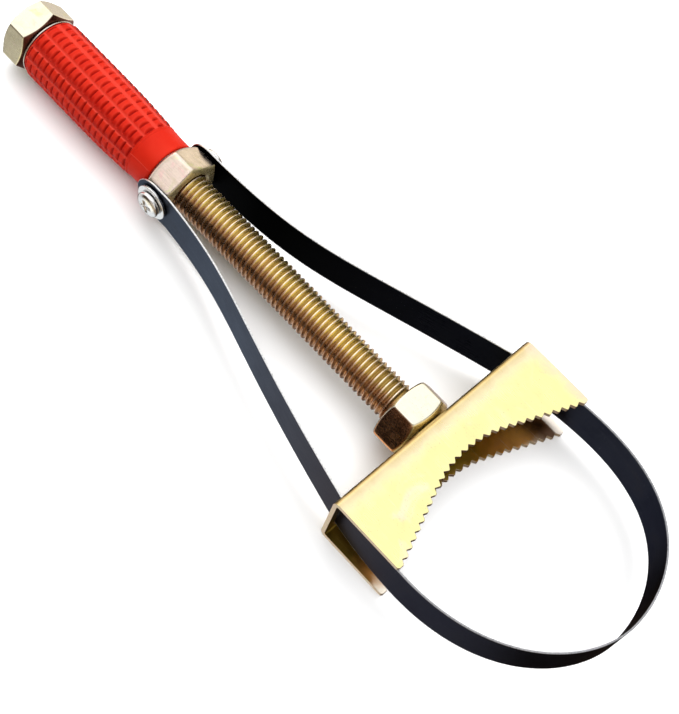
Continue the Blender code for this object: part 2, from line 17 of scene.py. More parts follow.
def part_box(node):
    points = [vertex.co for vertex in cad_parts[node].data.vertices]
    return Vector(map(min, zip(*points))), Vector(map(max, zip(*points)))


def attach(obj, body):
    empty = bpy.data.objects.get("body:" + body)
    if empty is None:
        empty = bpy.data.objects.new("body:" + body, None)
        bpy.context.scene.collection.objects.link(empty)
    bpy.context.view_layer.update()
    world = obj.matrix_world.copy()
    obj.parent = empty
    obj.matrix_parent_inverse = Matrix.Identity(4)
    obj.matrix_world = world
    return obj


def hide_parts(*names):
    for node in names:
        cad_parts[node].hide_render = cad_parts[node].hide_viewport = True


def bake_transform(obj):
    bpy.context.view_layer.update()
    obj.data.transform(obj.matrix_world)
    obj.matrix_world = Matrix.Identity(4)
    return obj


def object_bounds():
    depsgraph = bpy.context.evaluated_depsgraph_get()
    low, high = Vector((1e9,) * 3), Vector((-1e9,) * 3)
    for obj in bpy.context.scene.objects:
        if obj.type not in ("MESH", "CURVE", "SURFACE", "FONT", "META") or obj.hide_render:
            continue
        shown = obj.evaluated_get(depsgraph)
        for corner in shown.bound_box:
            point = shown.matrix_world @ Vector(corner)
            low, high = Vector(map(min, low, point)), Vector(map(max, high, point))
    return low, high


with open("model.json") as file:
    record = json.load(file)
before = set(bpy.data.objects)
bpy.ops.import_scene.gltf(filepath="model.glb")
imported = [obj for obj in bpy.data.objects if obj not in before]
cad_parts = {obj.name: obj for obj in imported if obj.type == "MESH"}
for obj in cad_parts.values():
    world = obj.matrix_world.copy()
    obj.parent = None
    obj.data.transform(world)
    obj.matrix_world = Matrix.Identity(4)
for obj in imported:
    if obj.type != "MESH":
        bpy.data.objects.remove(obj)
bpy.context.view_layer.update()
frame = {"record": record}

MM = 0.001


def box(node):
    """Lowest and highest corner of a CAD node, in millimetres."""
    lo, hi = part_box(node)
    return [c / MM for c in lo], [c / MM for c in hi]


# ---- small geometry --------------------------------------------------------


def smooth(low, high, value):
    t = np.clip((np.asarray(value, float) - low) / (high - low), 0.0, 1.0)
    return t * t * (3 - 2 * t)


def unit(v):
    v = np.asarray(v, float)
    return v / np.linalg.norm(v)


def fillet(points, radius, steps=3, closed=True):
    """Rounds a polyline's corners. radius and steps are one value or one for each corner.
    Returns the points and their left-hand unit normals."""
    pts = [np.array(p, float) for p in points]
    n = len(pts)
    radii = [radius] * n if np.isscalar(radius) else list(radius)
    counts = [steps] * n if np.isscalar(steps) else list(steps)
    out, normals = [], []

    def left(d):
        return np.array([-d[1], d[0]])

    for i in range(n):
        b = pts[i]
        if not closed and i in (0, n - 1):
            d = unit(pts[1] - pts[0]) if i == 0 else unit(pts[-1] - pts[-2])
            out.append(b)
            normals.append(left(d))
            continue
        a, c = pts[i - 1], pts[(i + 1) % n]
        d1, d2 = unit(b - a), unit(c - b)
        turn = math.atan2(d1[0] * d2[1] - d1[1] * d2[0], float(d1 @ d2))
        if abs(turn) < 0.02 or radii[i] <= 0:
            out.append(b)
            normals.append(unit(left(d1) + left(d2)))
            continue
        reach = radii[i] * math.tan(abs(turn) / 2)
        limit = 0.45 * min(np.linalg.norm(b - a), np.linalg.norm(c - b))
        reach = min(reach, limit)
        r = reach / math.tan(abs(turn) / 2)
        sign = 1.0 if turn > 0 else -1.0
        start, n1 = b - d1 * reach, left(d1)
        centre = start + n1 * sign * r
        for k in range(counts[i] + 1):
            angle = turn * k / counts[i]
            ca, sa = math.cos(angle), math.sin(angle)
            nn = np.array([n1[0] * ca - n1[1] * sa, n1[0] * sa + n1[1] * ca])
            out.append(centre - nn * sign * r)
            normals.append(nn)
    return np.array(out), np.array(normals)


def bezier(p0, p1, p2, p3, steps, first=False):
    t = np.linspace(0, 1, steps + 1)[:, None]
    u = 1 - t
    p0, p1, p2, p3 = (np.array(p, float) for p in (p0, p1, p2, p3))
    points = u**3 * p0 + 3 * u * u * t * p1 + 3 * u * t * t * p2 + t**3 * p3
    return points if first else points[1:]


def circle(cx, cy, radius, steps, start=0.0, turn=math.tau):
    return [
        (
            cx + radius * math.cos(start + turn * i / steps),
            cy + radius * math.sin(start + turn * i / steps),
        )
        for i in range(steps)
    ]


def signed_volume(verts, faces):
    total = 0.0
    by_size = {}
    for f in faces:
        by_size.setdefault(len(f), []).append(f)
    for size, group in by_size.items():
        idx = np.array(group)
        a = verts[idx[:, 0]]
        for k in range(1, size - 1):
            total += np.einsum(
                "ij,ij->i", a, np.cross(verts[idx[:, k]], verts[idx[:, k + 1]])
            ).sum()
    return total


def build(
    name,
    verts,
    faces,
    materials,
    vertex_normals=None,
    loop_normals=None,
    face_material=None,
    marks=None,
    sharp=None,
):
    """Makes a closed mesh object from millimetres. marks: {attribute: one value for each vertex}."""
    verts = np.asarray(verts, float) * MM
    faces = [tuple(int(i) for i in f) for f in faces]
    if signed_volume(verts, faces) < 0:
        faces = [f[::-1] for f in faces]
        if loop_normals is not None:
            loop_normals = [ns[::-1] for ns in loop_normals]
    mesh = bpy.data.meshes.new(name)
    mesh.from_pydata(verts.tolist(), [], faces)
    for m in materials:
        mesh.materials.append(m)
    if face_material is not None:
        mesh.polygons.foreach_set("material_index", np.asarray(face_material, np.int32))
    for key, values in (marks or {}).items():
        layer = mesh.attributes.new(key, "FLOAT", "POINT")
        layer.data.foreach_set("value", np.asarray(values, np.float32))
    mesh.shade_smooth()
    mesh.update()
    if vertex_normals is not None:
        mesh.normals_split_custom_set_from_vertices(
            [tuple(v) for v in np.asarray(vertex_normals, float)]
        )
    elif loop_normals is not None:
        mesh.normals_split_custom_set([tuple(n) for ns in loop_normals for n in ns])
    elif sharp is not None:
        mesh.set_sharp_from_angle(angle=math.radians(sharp))
    obj = bpy.data.objects.new(name, mesh)
    bpy.context.scene.collection.objects.link(obj)
    return obj


def grid_faces(rows, cols, close_rows, close_cols, base=0):
    faces = []
    for i in range(rows if close_rows else rows - 1):
        i2 = (i + 1) % rows
        for k in range(cols if close_cols else cols - 1):
            k2 = (k + 1) % cols
            faces.append(
                (
                    base + i * cols + k,
                    base + i2 * cols + k,
                    base + i2 * cols + k2,
                    base + i * cols + k2,
                )
            )
    return faces


AXES = {
    "X": np.eye(3),
    # the lathe's own X points along +Y or -Y
    "+Y": np.array([[0, -1, 0], [1, 0, 0], [0, 0, 1]], float),
    "-Y": np.array([[0, 1, 0], [-1, 0, 0], [0, 0, 1]], float),
}


def lathe(profile, radius, segments, closed=True, steps=3):
    """A turned solid about X. profile: (x, r) corners. An open profile starts and ends on the axis."""
    pts, left = fillet(profile, radius, steps, closed)
    area = sum(
        a[0] * b[1] - a[1] * b[0] for a, b in zip(pts, np.roll(pts, -1, axis=0))
    )
    outward = -left if area > 0 else left
    angles = np.arange(segments) * math.tau / segments
    s, c = np.sin(angles), np.cos(angles)
    first, last = (0, len(pts)) if closed else (1, len(pts) - 1)
    verts, normals = [], []
    for (x, r), (nx, nr) in zip(pts[first:last], outward[first:last]):
        verts.append(np.stack([np.full(segments, x), -r * s, r * c], -1))
        normals.append(np.stack([np.full(segments, nx), -nr * s, nr * c], -1))
    rows = len(verts)
    faces = grid_faces(rows, segments, closed, True)
    verts = np.concatenate(verts)
    normals = np.concatenate(normals)
    if not closed:
        lo, hi = len(verts), len(verts) + 1
        end = (rows - 1) * segments
        for k in range(segments):
            k2 = (k + 1) % segments
            faces.append((lo, k, k2))
            faces.append((hi, end + k2, end + k))
        sign = 1 if pts[-1][0] > pts[0][0] else -1
        verts = np.concatenate([verts, [[pts[0][0], 0, 0], [pts[-1][0], 0, 0]]])
        normals = np.concatenate([normals, [[-sign, 0, 0], [sign, 0, 0]]])
    return verts, faces, normals


def turned_piece(name, profile, radius, segments, mats, at, axis="X", closed=True):
    verts, faces, normals = lathe(profile, radius, segments, closed)
    turn = AXES[axis]
    return build(
        name,
        verts @ turn.T + np.array(at, float),
        faces,
        mats,
        vertex_normals=normals @ turn.T,
    )


# ---- bent sheet ------------------------------------------------------------


def inside(points, loops):
    """Even-odd test of points against all loops together."""
    hit = np.zeros(len(points), int)
    x, y = points[:, 0], points[:, 1]
    for loop in loops:
        a = np.asarray(loop)
        b = np.roll(a, -1, axis=0)
        for (x1, y1), (x2, y2) in zip(a, b):
            if y1 == y2:
                continue
            crosses = (y1 > y) != (y2 > y)
            hit += crosses & (x < (x2 - x1) * (y - y1) / (y2 - y1) + x1)
    return hit % 2 == 1


def sheet(name, loops, guides, place, thickness, edge, mats, inner_material=0, rim=1):
    """A sheet of even thickness with rounded cut edges. loops: closed outlines in (u, v) with the
    material on their left. guides: cross lines that follow the sheet's bends.
    place(uv, depth) gives positions, outward normals and the two tangents."""
    miters, shrunk = [], []
    for loop in loops:
        p = np.asarray(loop, float)
        d = np.roll(p, -1, axis=0) - p
        d /= np.linalg.norm(d, axis=1)[:, None]
        left = np.stack([-d[:, 1], d[:, 0]], -1)
        before = np.roll(left, 1, axis=0)
        m = (left + before) / (1 + (left * before).sum(1))[:, None]
        length = np.linalg.norm(m, axis=1)
        m *= np.minimum(1.0, 2.0 / length)[:, None]
        miters.append(m)
        shrunk.append(p + m * edge)
    points, edges = [], []
    for p in shrunk:
        base, n = len(points), len(p)
        points += [Vector(q) for q in p]
        edges += [(base + i, base + (i + 1) % n) for i in range(n)]
    for a, b in guides:
        pair = []
        for q in (a, b):
            q = np.array(q, float)
            every = np.array(points)
            distance = np.linalg.norm(every - q, axis=1)
            nearest = int(distance.argmin())
            if distance[nearest] > 2 * edge + 1e-6:
                raise ValueError(f"{name}: guide end {q} is not on an outline")
            pair.append(nearest)
        edges.append(tuple(pair))
    flat, _, tris, ids, _, _ = delaunay_2d_cdt(points, edges, [], 0, 1e-7)
    flat = np.array([tuple(v) for v in flat], float)
    where = {}
    for out, sources in enumerate(ids):
        for source in sources:
            where[source] = out
    tris = np.array([tuple(t) for t in tris])
    tris = tris[inside(flat[tris].mean(1), shrunk)]
    used = np.unique(tris)
    renumber = -np.ones(len(flat), int)
    renumber[used] = np.arange(len(used))
    tris = renumber[tris]
    uv = flat[used]
    n = len(uv)
    top, normal, _, _ = place(uv, 0.0)
    bottom = place(uv, thickness)[0]
    verts = [top, bottom]
    faces, normals, kinds = [], [], []
    for a, b, c in tris:
        faces.append((a, b, c))
        normals.append([normal[a], normal[b], normal[c]])
        kinds.append(0)
        faces.append((n + c, n + b, n + a))
        normals.append([-normal[c], -normal[b], -normal[a]])
        kinds.append(inner_material)
    psi = [0.0, 30.0, 60.0, 90.0]
    rings = [
        (edge * (1 - math.sin(math.radians(a))), edge * (1 - math.cos(math.radians(a))), math.cos(math.radians(a)), math.sin(math.radians(a)))
        for a in psi
    ]
    rings += [(o, thickness - d, -c, s) for o, d, c, s in rings[::-1]]
    count = 2 * n
    base = 0
    for loop, miter in zip(loops, miters):
        p = np.asarray(loop, float)
        size = len(p)
        d = np.roll(p, -1, axis=0) - p
        d /= np.linalg.norm(d, axis=1)[:, None]
        index, frames = [], []
        for j, (off, depth, cn, cm) in enumerate(rings):
            ring_uv = p + miter * off
            position, up, tu, tv = place(ring_uv, depth)
            frames.append((up, tu, tv))
            if j in (0, len(rings) - 1):
                shift = 0 if j == 0 else n
                index.append([shift + renumber[where[base + i]] for i in range(size)])
            else:
                verts.append(position)
                index.append(list(range(count, count + size)))
                count += size
        out = np.stack([d[:, 1], -d[:, 0]], -1)

        def edge_normal(i, corner, j):
            neighbour = (i + 1) % size if corner == (i + 1) % size else (i - 1) % size
            o = out[i]
            if out[i] @ out[neighbour] > 0.8:
                o = unit(out[i] + out[neighbour])
            up, tu, tv = frames[j]
            cn, cm = rings[j][2], rings[j][3]
            return unit(up[corner] * cn + (tu[corner] * o[0] + tv[corner] * o[1]) * cm)

        for i in range(size):
            i2 = (i + 1) % size
            for j in range(len(rings) - 1):
                if abs(rings[j][1] - rings[j + 1][1]) + abs(rings[j][0] - rings[j + 1][0]) < 1e-9:
                    continue
                faces.append((index[j][i2], index[j][i], index[j + 1][i], index[j + 1][i2]))
                normals.append(
                    [
                        edge_normal(i, i2, j),
                        edge_normal(i, i, j),
                        edge_normal(i, i, j + 1),
                        edge_normal(i, i2, j + 1),
                    ]
                )
                kinds.append(rim)
        base += size
    return build(
        name,
        np.concatenate(verts),
        faces,
        mats,
        loop_normals=normals,
        face_material=kinds,
    )


# ---- nodes -----------------------------------------------------------------


class Shader:
    """A small helper that strings node sockets together."""

    def __init__(self, name):
        self.material = bpy.data.materials.new(name)
        self.material.use_nodes = True
        self.tree = self.material.node_tree
        self.tree.nodes.clear()
        self.out = self.tree.nodes.new("ShaderNodeOutputMaterial")
        self.bsdf = self.tree.nodes.new("ShaderNodeBsdfPrincipled")
        self.tree.links.new(self.bsdf.outputs[0], self.out.inputs[0])
        self.place = self.tree.nodes.new("ShaderNodeTexCoord").outputs["Object"]

    def put(self, socket, value):
        if isinstance(value, bpy.types.NodeSocket):
            self.tree.links.new(value, socket)
        elif isinstance(value, (tuple, list)) and len(value) == 3 and socket.type == "RGBA":
            socket.default_value = (*value, 1.0)
        else:
            socket.default_value = value

    def set(self, **values):
        for key, value in values.items():
            self.put(self.bsdf.inputs[key.replace("_", " ")], value)

    def math(self, op, a, b=0.0, c=None, clamp=False):
        node = self.tree.nodes.new("ShaderNodeMath")
        node.operation = op
        node.use_clamp = clamp
        self.put(node.inputs[0], a)
        self.put(node.inputs[1], b)
        if c is not None:
            self.put(node.inputs[2], c)
        return node.outputs[0]

    def noise(self, scale, detail=3.0, rough=0.5, distortion=0.0, stretch=None, turn=None, offset=0.0):
        """scale: features per millimetre."""
        vector = self.place
        if stretch or turn or offset:
            mapping = self.tree.nodes.new("ShaderNodeMapping")
            self.tree.links.new(vector, mapping.inputs["Vector"])
            mapping.inputs["Scale"].default_value = stretch or (1, 1, 1)
            mapping.inputs["Rotation"].default_value = turn or (0, 0, 0)
            mapping.inputs["Location"].default_value = (offset, offset * 0.7, -offset)
            vector = mapping.outputs[0]
        node = self.tree.nodes.new("ShaderNodeTexNoise")
        self.tree.links.new(vector, node.inputs["Vector"])
        node.inputs["Scale"].default_value = scale * 1000
        node.inputs["Detail"].default_value = detail
        node.inputs["Roughness"].default_value = rough
        node.inputs["Distortion"].default_value = distortion
        return node.outputs["Fac"]

    def ramp(self, fac, stops, interpolation="LINEAR"):
        node = self.tree.nodes.new("ShaderNodeValToRGB")
        self.put(node.inputs[0], fac)
        ramp = node.color_ramp
        ramp.interpolation = interpolation
        while len(ramp.elements) < len(stops):
            ramp.elements.new(0.5)
        for element, (position, colour) in zip(ramp.elements, stops):
            element.position = position
            element.color = (*colour, 1) if len(colour) == 3 else colour
        return node.outputs[0]

    def span(self, value, low, high, to_low=0.0, to_high=1.0):
        node = self.tree.nodes.new("ShaderNodeMapRange")
        self.put(node.inputs["Value"], value)
        for key, v in zip(("From Min", "From Max", "To Min", "To Max"), (low, high, to_low, to_high)):
            self.put(node.inputs[key], v)
        return node.outputs[0]

    def mix(self, fac, a, b, blend="MIX"):
        node = self.tree.nodes.new("ShaderNodeMix")
        node.data_type = "RGBA"
        node.blend_type = blend
        node.clamp_factor = True
        self.put(node.inputs[0], fac)
        self.put(node.inputs[6], a)
        self.put(node.inputs[7], b)
        return node.outputs[2]

    def mark(self, name):
        node = self.tree.nodes.new("ShaderNodeAttribute")
        node.attribute_name = name
        return node.outputs["Fac"]

    def tilt(self, letter):
        """How far the surface faces along one of the piece's own axes, -1 to 1."""
        coords = self.tree.nodes.new("ShaderNodeTexCoord")
        parts = self.tree.nodes.new("ShaderNodeSeparateXYZ")
        self.tree.links.new(coords.outputs["Normal"], parts.inputs[0])
        return parts.outputs[letter]

    def axis(self, letter):
        node = self.tree.nodes.new("ShaderNodeSeparateXYZ")
        self.tree.links.new(self.place, node.inputs[0])
        return self.math("MULTIPLY", node.outputs[letter], 1000.0)

    def bump(self, height, strength, distance, normal=None):
        """distance in millimetres."""
        node = self.tree.nodes.new("ShaderNodeBump")
        self.put(node.inputs["Height"], height)
        node.inputs["Strength"].default_value = strength
        node.inputs["Distance"].default_value = distance * MM
        if normal is not None:
            self.put(node.inputs["Normal"], normal)
        return node.outputs[0]

    def edges(self, radius, samples=4):
        """How strongly the surface turns within radius millimetres: 0 on a flat, 1 on an edge."""
        bevel = self.tree.nodes.new("ShaderNodeBevel")
        bevel.samples = samples
        bevel.inputs["Radius"].default_value = radius * MM
        geometry = self.tree.nodes.new("ShaderNodeNewGeometry")
        dot = self.tree.nodes.new("ShaderNodeVectorMath")
        dot.operation = "DOT_PRODUCT"
        self.tree.links.new(bevel.outputs[0], dot.inputs[0])
        self.tree.links.new(geometry.outputs["Normal"], dot.inputs[1])
        return self.span(dot.outputs["Value"], 0.995, 0.93)


def plated(
    name,
    main,
    blush,
    tint,
    rough=0.28,
    patch=9.0,
    stretch=(1, 1, 1),
    lines=0.25,
    line_scale=1.6,
    edge=(1.0, 0.96, 0.86),
    edge_radius=0.25,
    grain=0.12,
    stain=(0.55, 0.45, 0.2),
    stain_amount=0.25,
    wear_mark=None,
    groove_mark=None,
    groove=(0.1, 0.06, 0.02),
    offset=0.0,
    zones=(),
    metal=1.0,
    relief=1.0,
    faces=(),
):
    """Chromated zinc plating: cloudy colour, drawn lines, fine grain, scratches and rubbed edges. zones give colour by
    position, in places painted shade and light; faces paint shade and reflection by the way a surface faces.
    """
    s = Shader(name)
    cloud = s.noise(1 / patch, 4, 0.55, 0.8, offset=offset)
    colour = s.ramp(
        cloud, [(0.28, tint), (0.42, main), (0.56, main), (0.72, blush)], "EASE"
    )
    cloud2 = s.noise(2.7 / patch, 5, 0.6, 0.4, offset=offset + 0.37)
    colour = s.mix(s.span(cloud2, 0.52, 0.78, 0, stain_amount), colour, stain)
    drawn = s.noise(line_scale, 4, 0.6, 0.0, stretch=stretch, offset=offset + 0.11)
    colour = s.mix(s.span(drawn, 0.35, 0.75, 0, lines), colour, tuple(0.62 * c for c in main))
    speck = s.noise(2.4, 2, 0.5, 0.0, offset=offset + 0.71)
    colour = s.mix(s.span(speck, 0.66, 0.74, 0, 0.45), colour, tuple(0.5 * c for c in stain))
    # colour by position: plating tones, and painted shade and light where the zones are given as such
    for letter, full, gone, zone, amount, both, *matt in zones:
        at = s.axis(letter)
        if both:
            at = s.math("ABSOLUTE", at)
        wander = min(1.6, 0.3 * abs(full - gone))
        at = s.math("ADD", at, s.span(cloud2, 0.3, 0.7, -wander, wander))
        share = s.span(at, gone, full, 0, amount)
        colour = s.mix(share, colour, zone)
        if matt:
            metal = s.math("SUBTRACT", metal, s.math("MULTIPLY", share, matt[0]))
    # painted shade and reflection: the colour darkens or takes a reflected tint by the way the surface faces
    for letter, full, gone, zone, amount, matt in faces:
        share = s.span(s.tilt(letter), gone, full, 0, amount)
        colour = s.mix(share, colour, zone)
        metal = s.math("SUBTRACT", metal, s.math("MULTIPLY", share, matt))
    scratch = s.noise(0.9, 3, 0.65, 0.0, stretch=(0.06, 3.0, 3.0), turn=(0.4, 0.3, 0.9), offset=offset + 0.2)
    scratched = s.span(scratch, 0.66, 0.70, 0, 0.35)
    colour = s.mix(scratched, colour, edge)
    if groove_mark:
        # darker towards the marked grooves
        depth = s.mark(groove_mark)
        groove_darkening = s.math("MULTIPLY", depth, s.span(cloud2, 0.3, 0.6, 0.75, 1.0))
        colour = s.mix(groove_darkening, colour, groove)
    rubbed = s.edges(edge_radius) if edge_radius else 0.0
    if wear_mark:
        rubbed = s.mark(wear_mark)
    if edge_radius or wear_mark:
        broken = s.math("MULTIPLY", rubbed, s.span(s.noise(0.8, 3, 0.6, offset=offset + 0.5), 0.3, 0.55, 0.55, 1.0))
        colour = s.mix(broken, colour, edge)
    if wear_mark:
        # painted shade laid again over the rubbed crests, on the sides that the faces entries darken
        for letter, full, gone, zone, amount, _ in faces:
            painted_crest_shade = tuple(0.5 * c + 0.5 * e for c, e in zip(zone, (0.62, 0.34, 0.20)))
            colour = s.mix(s.span(s.tilt(letter), gone, full, 0, 0.8 * amount), colour, painted_crest_shade)
    fine = s.noise(7.0, 3, 0.6, offset=offset)
    roughness = s.math("ADD", s.span(cloud2, 0.3, 0.7, rough - 0.06, rough + 0.08), s.span(drawn, 0.35, 0.7, -0.03, 0.06))
    normal = s.bump(fine, grain * relief, 0.03)
    normal = s.bump(drawn, 0.16 * relief, 0.03, normal)
    normal = s.bump(s.noise(0.18, 2, 0.5, offset=offset + 0.9), 0.25 * relief, 0.25, normal)
    s.set(Base_Color=colour, Metallic=metal, Roughness=roughness, Normal=normal)
    return s.material


def make_materials():
    m = {}
    m["jaw"] = plated(
        "jaw_plating", (0.97, 0.94, 0.44), (0.97, 0.88, 0.62), (0.96, 0.97, 0.50),
        rough=0.30, patch=16.0, stretch=(0.15, 2.2, 2.2), lines=0.12, line_scale=0.9,
        edge=(1.0, 0.90, 0.78), edge_radius=0.0, stain=(0.84, 0.66, 0.40), stain_amount=0.28, grain=0.10,
        zones=[
            # axis, full, gone, colour, amount, whether both signs count
            ("X", 196.4, 201.6, (0.90, 0.78, 0.58), 0.75, False),
            ("X", 194.4, 197.8, (0.72, 0.56, 0.26), 0.90, False),
            ("Y", 43.4, 38.0, (0.93, 0.77, 0.66), 0.75, False),
        ],
    )  # fmt: skip
    # painted shade: a darker, oranger copy of the jaw's plating for the inner faces
    m["jaw_inside"] = plated(
        "jaw_inside_painted_light_and_shade", (0.70, 0.38, 0.05), (0.80, 0.38, 0.08), (0.44, 0.38, 0.04),
        rough=0.34, patch=12.0, stretch=(0.15, 2.2, 2.2), lines=0.2, line_scale=0.9,
        edge_radius=0.0, stain=(0.30, 0.22, 0.08), stain_amount=0.55, offset=0.31,
        zones=[
            # painted shade and light: olive and then dark towards -Y, near black towards +Y with a pale band past Y
            # 39.7, orange towards the mouth and cream, less metallic, at its front
            ("Y", 12.0, 21.0, (0.40, 0.33, 0.03), 0.85, False),
            ("Y", -6.0, 4.0, (0.26, 0.17, 0.03), 0.85, False),
            ("X", 214.0, 205.0, (0.80, 0.40, 0.12), 0.85, False),
            ("X", 219.0, 214.0, (1.0, 0.92, 0.78), 1.0, False, 0.55),
            ("Y", 36.0, 29.0, (0.16, 0.07, 0.03), 0.95, False),
            ("Y", 39.7, 39.1, (1.0, 0.92, 0.82), 1.0, False, 0.2),
        ],
    )  # fmt: skip
    m["jaw_edge"] = plated(
        "jaw_cut_edge", (0.74, 0.58, 0.40), (0.78, 0.55, 0.42), (0.66, 0.60, 0.38),
        rough=0.34, patch=3.0, stretch=(2.5, 2.5, 0.2), lines=0.4, line_scale=2.0,
        edge_radius=0.0, stain=(0.55, 0.40, 0.20), stain_amount=0.4, offset=0.77,
    )  # fmt: skip
    m["rod"] = plated(
        "rod_plating", (0.93, 0.72, 0.21), (0.95, 0.62, 0.28), (0.88, 0.78, 0.16),
        rough=0.24, patch=9.0, stretch=(2.4, 0.3, 0.3), lines=0.3,
        edge=(1.0, 0.86, 0.72), edge_radius=0.0, wear_mark="crest", groove_mark="root",
        groove=(0.34, 0.21, 0.05), stain=(0.56, 0.34, 0.08), stain_amount=0.4, metal=0.91, relief=0.7,
        # painted reflection and shade: dark grey-olive towards the shoulder nut
        zones=[("X", 182.0, 158.0, (0.26, 0.21, 0.13), 0.80, False)],
        # painted shade and reflection: red-brown on the side facing -Y, brown on the side facing +Y
        faces=[
            ("Y", -0.58, -0.28, (0.42, 0.17, 0.06), 0.90, 0.0),
            ("Y", 0.80, 0.45, (0.60, 0.38, 0.12), 0.70, 0.0),
        ],
    )  # fmt: skip
    m["drive_hex"] = plated(
        "drive_hex_plating", (0.97, 0.93, 0.74), (0.96, 0.86, 0.78), (0.95, 0.90, 0.42),
        rough=0.27, patch=7.0, stretch=(0.12, 2.4, 2.4), lines=0.3, line_scale=1.5,
        stain=(0.62, 0.56, 0.34), stain_amount=0.4, offset=0.13,
        # painted shade and red reflection on the faces turned to +X; axis the surface faces along, full, gone, colour,
        # amount, how much less metallic
        faces=[("X", 0.62, 0.40, (0.15, 0.035, 0.02), 0.95, 0.0)],
    )  # fmt: skip
    m["shoulder"] = plated(
        "shoulder_nut_plating", (0.97, 0.94, 0.78), (0.96, 0.88, 0.78), (0.96, 0.95, 0.66),
        rough=0.22, patch=8.0, stretch=(0.12, 2.4, 2.4), lines=0.2, line_scale=1.5,
        stain=(0.70, 0.60, 0.40), stain_amount=0.25, offset=0.53, relief=0.3,
        # painted shade: brown on the faces turned to -Y
        faces=[("Y", -0.78, -0.60, (0.64, 0.27, 0.11), 0.88, 0.0)],
    )  # fmt: skip
    m["collar"] = plated(
        "collar_plating", (0.95, 0.84, 0.74), (0.99, 0.70, 0.68), (0.80, 0.90, 0.48),
        rough=0.25, patch=6.0, stretch=(0.10, 2.6, 2.6), lines=0.4, line_scale=1.5,
        stain=(0.72, 0.62, 0.30), stain_amount=0.45, offset=0.91, relief=0.6,
        # painted shade: dull olive, less metallic, on the faces turned to +X
        faces=[("X", 0.60, 0.35, (0.42, 0.34, 0.13), 0.85, 0.45)],
    )  # fmt: skip
    m["pale_zinc"] = plated(
        "washer_plating", (0.84, 0.83, 0.78), (0.88, 0.80, 0.74), (0.80, 0.82, 0.72),
        rough=0.26, patch=5.0, stretch=(2, 2, 2), lines=0.2, stain=(0.5, 0.45, 0.35), stain_amount=0.3, offset=0.4,
    )  # fmt: skip
    m["blue_zinc"] = plated(
        "screw_plating", (0.93, 0.95, 0.96), (0.93, 0.93, 0.94), (0.86, 0.90, 0.92),
        rough=0.20, patch=3.0, stretch=(2, 2, 2), lines=0.15, edge=(1, 1, 1), edge_radius=0.18,
        stain=(0.4, 0.43, 0.47), stain_amount=0.35, offset=0.6,
    )  # fmt: skip
    m["tube"] = plated(
        "tube_steel", (0.50, 0.49, 0.47), (0.52, 0.46, 0.42), (0.45, 0.46, 0.45),
        rough=0.4, patch=8.0, stretch=(0.1, 2, 2), lines=0.3, stain=(0.3, 0.2, 0.14), stain_amount=0.3,
    )  # fmt: skip
    m["spring"] = plated(
        "phosphated_ring", (0.10, 0.10, 0.11), (0.13, 0.11, 0.10), (0.09, 0.10, 0.11),
        rough=0.42, patch=3.0, stretch=(2, 2, 2), lines=0.2, edge=(0.4, 0.4, 0.42), edge_radius=0.12,
        stain=(0.05, 0.05, 0.05), stain_amount=0.3,
    )  # fmt: skip

    s = Shader("band_blued_steel")
    cloud = s.noise(1 / 14, 4, 0.6, 0.6)
    colour = s.ramp(
        cloud, [(0.3, (0.012, 0.014, 0.023)), (0.55, (0.018, 0.021, 0.033)), (0.8, (0.028, 0.028, 0.036))]
    )
    rolled = s.noise(1.4, 4, 0.65, stretch=(0.06, 0.06, 2.2))
    colour = s.mix(s.span(rolled, 0.4, 0.72, 0, 0.40), colour, (0.038, 0.042, 0.055))
    speck = s.noise(1.5, 3, 0.7, offset=0.3)
    colour = s.mix(s.span(speck, 0.68, 0.74, 0, 0.7), colour, (0.16, 0.17, 0.19))
    height = s.axis("Z")
    rim = s.span(s.math("ABSOLUTE", height), 7.45, 7.95)
    # painted shade: the far leg's inner face goes near black and loses most of its reflection, less so towards the jaw
    # and the loop
    shaded = s.math("MULTIPLY", s.span(s.axis("Y"), 4.0, 12.0), s.span(s.axis("X"), 195.0, 215.0, 1.0, 0.12))
    shaded = s.math("MULTIPLY", shaded, s.span(s.axis("X"), 112.0, 175.0, 1.0, 0.62))
    colour = s.mix(s.math("MULTIPLY", shaded, 0.95), colour, (0.0010, 0.0010, 0.0016))
    # painted reflection: the reflection tint is bluer and brighter along the legs, greyer towards the jaw, darker on
    # the loop, and near black under the painted shade
    sheen = s.mix(s.span(s.axis("X"), 130.0, 190.0), (0.68, 0.75, 0.87), (0.60, 0.57, 0.58))
    sheen = s.mix(s.span(s.axis("X"), 203.0, 222.0), sheen, (0.44, 0.43, 0.45))
    sheen = s.mix(shaded, sheen, (0.03, 0.03, 0.04))
    worn = s.math("MULTIPLY", rim, s.span(s.noise(0.5, 4, 0.7, stretch=(1, 1, 0.4)), 0.35, 0.6, 0.25, 1.0))
    colour = s.mix(worn, colour, (0.36, 0.38, 0.41))
    normal = s.bump(s.noise(5.0, 3, 0.6), 0.10, 0.02)
    normal = s.bump(rolled, 0.15, 0.02, normal)
    s.set(
        Base_Color=colour,
        Metallic=0.9,
        Specular_Tint=sheen,
        Specular_IOR_Level=s.math("SUBTRACT", 0.5, s.math("MULTIPLY", shaded, 0.48)),
        Roughness=s.math("ADD", s.span(cloud, 0.3, 0.7, 0.26, 0.36), s.span(rolled, 0.4, 0.7, 0.0, 0.08)),
        Normal=normal,
    )
    m["band"] = s.material

    s = Shader("band_sheared_edge")
    nick = s.noise(1.6, 4, 0.7, stretch=(1, 1, 0.3))
    colour = s.ramp(nick, [(0.3, (0.42, 0.44, 0.47)), (0.5, (0.86, 0.88, 0.90)), (0.7, (0.97, 0.98, 1.0))])
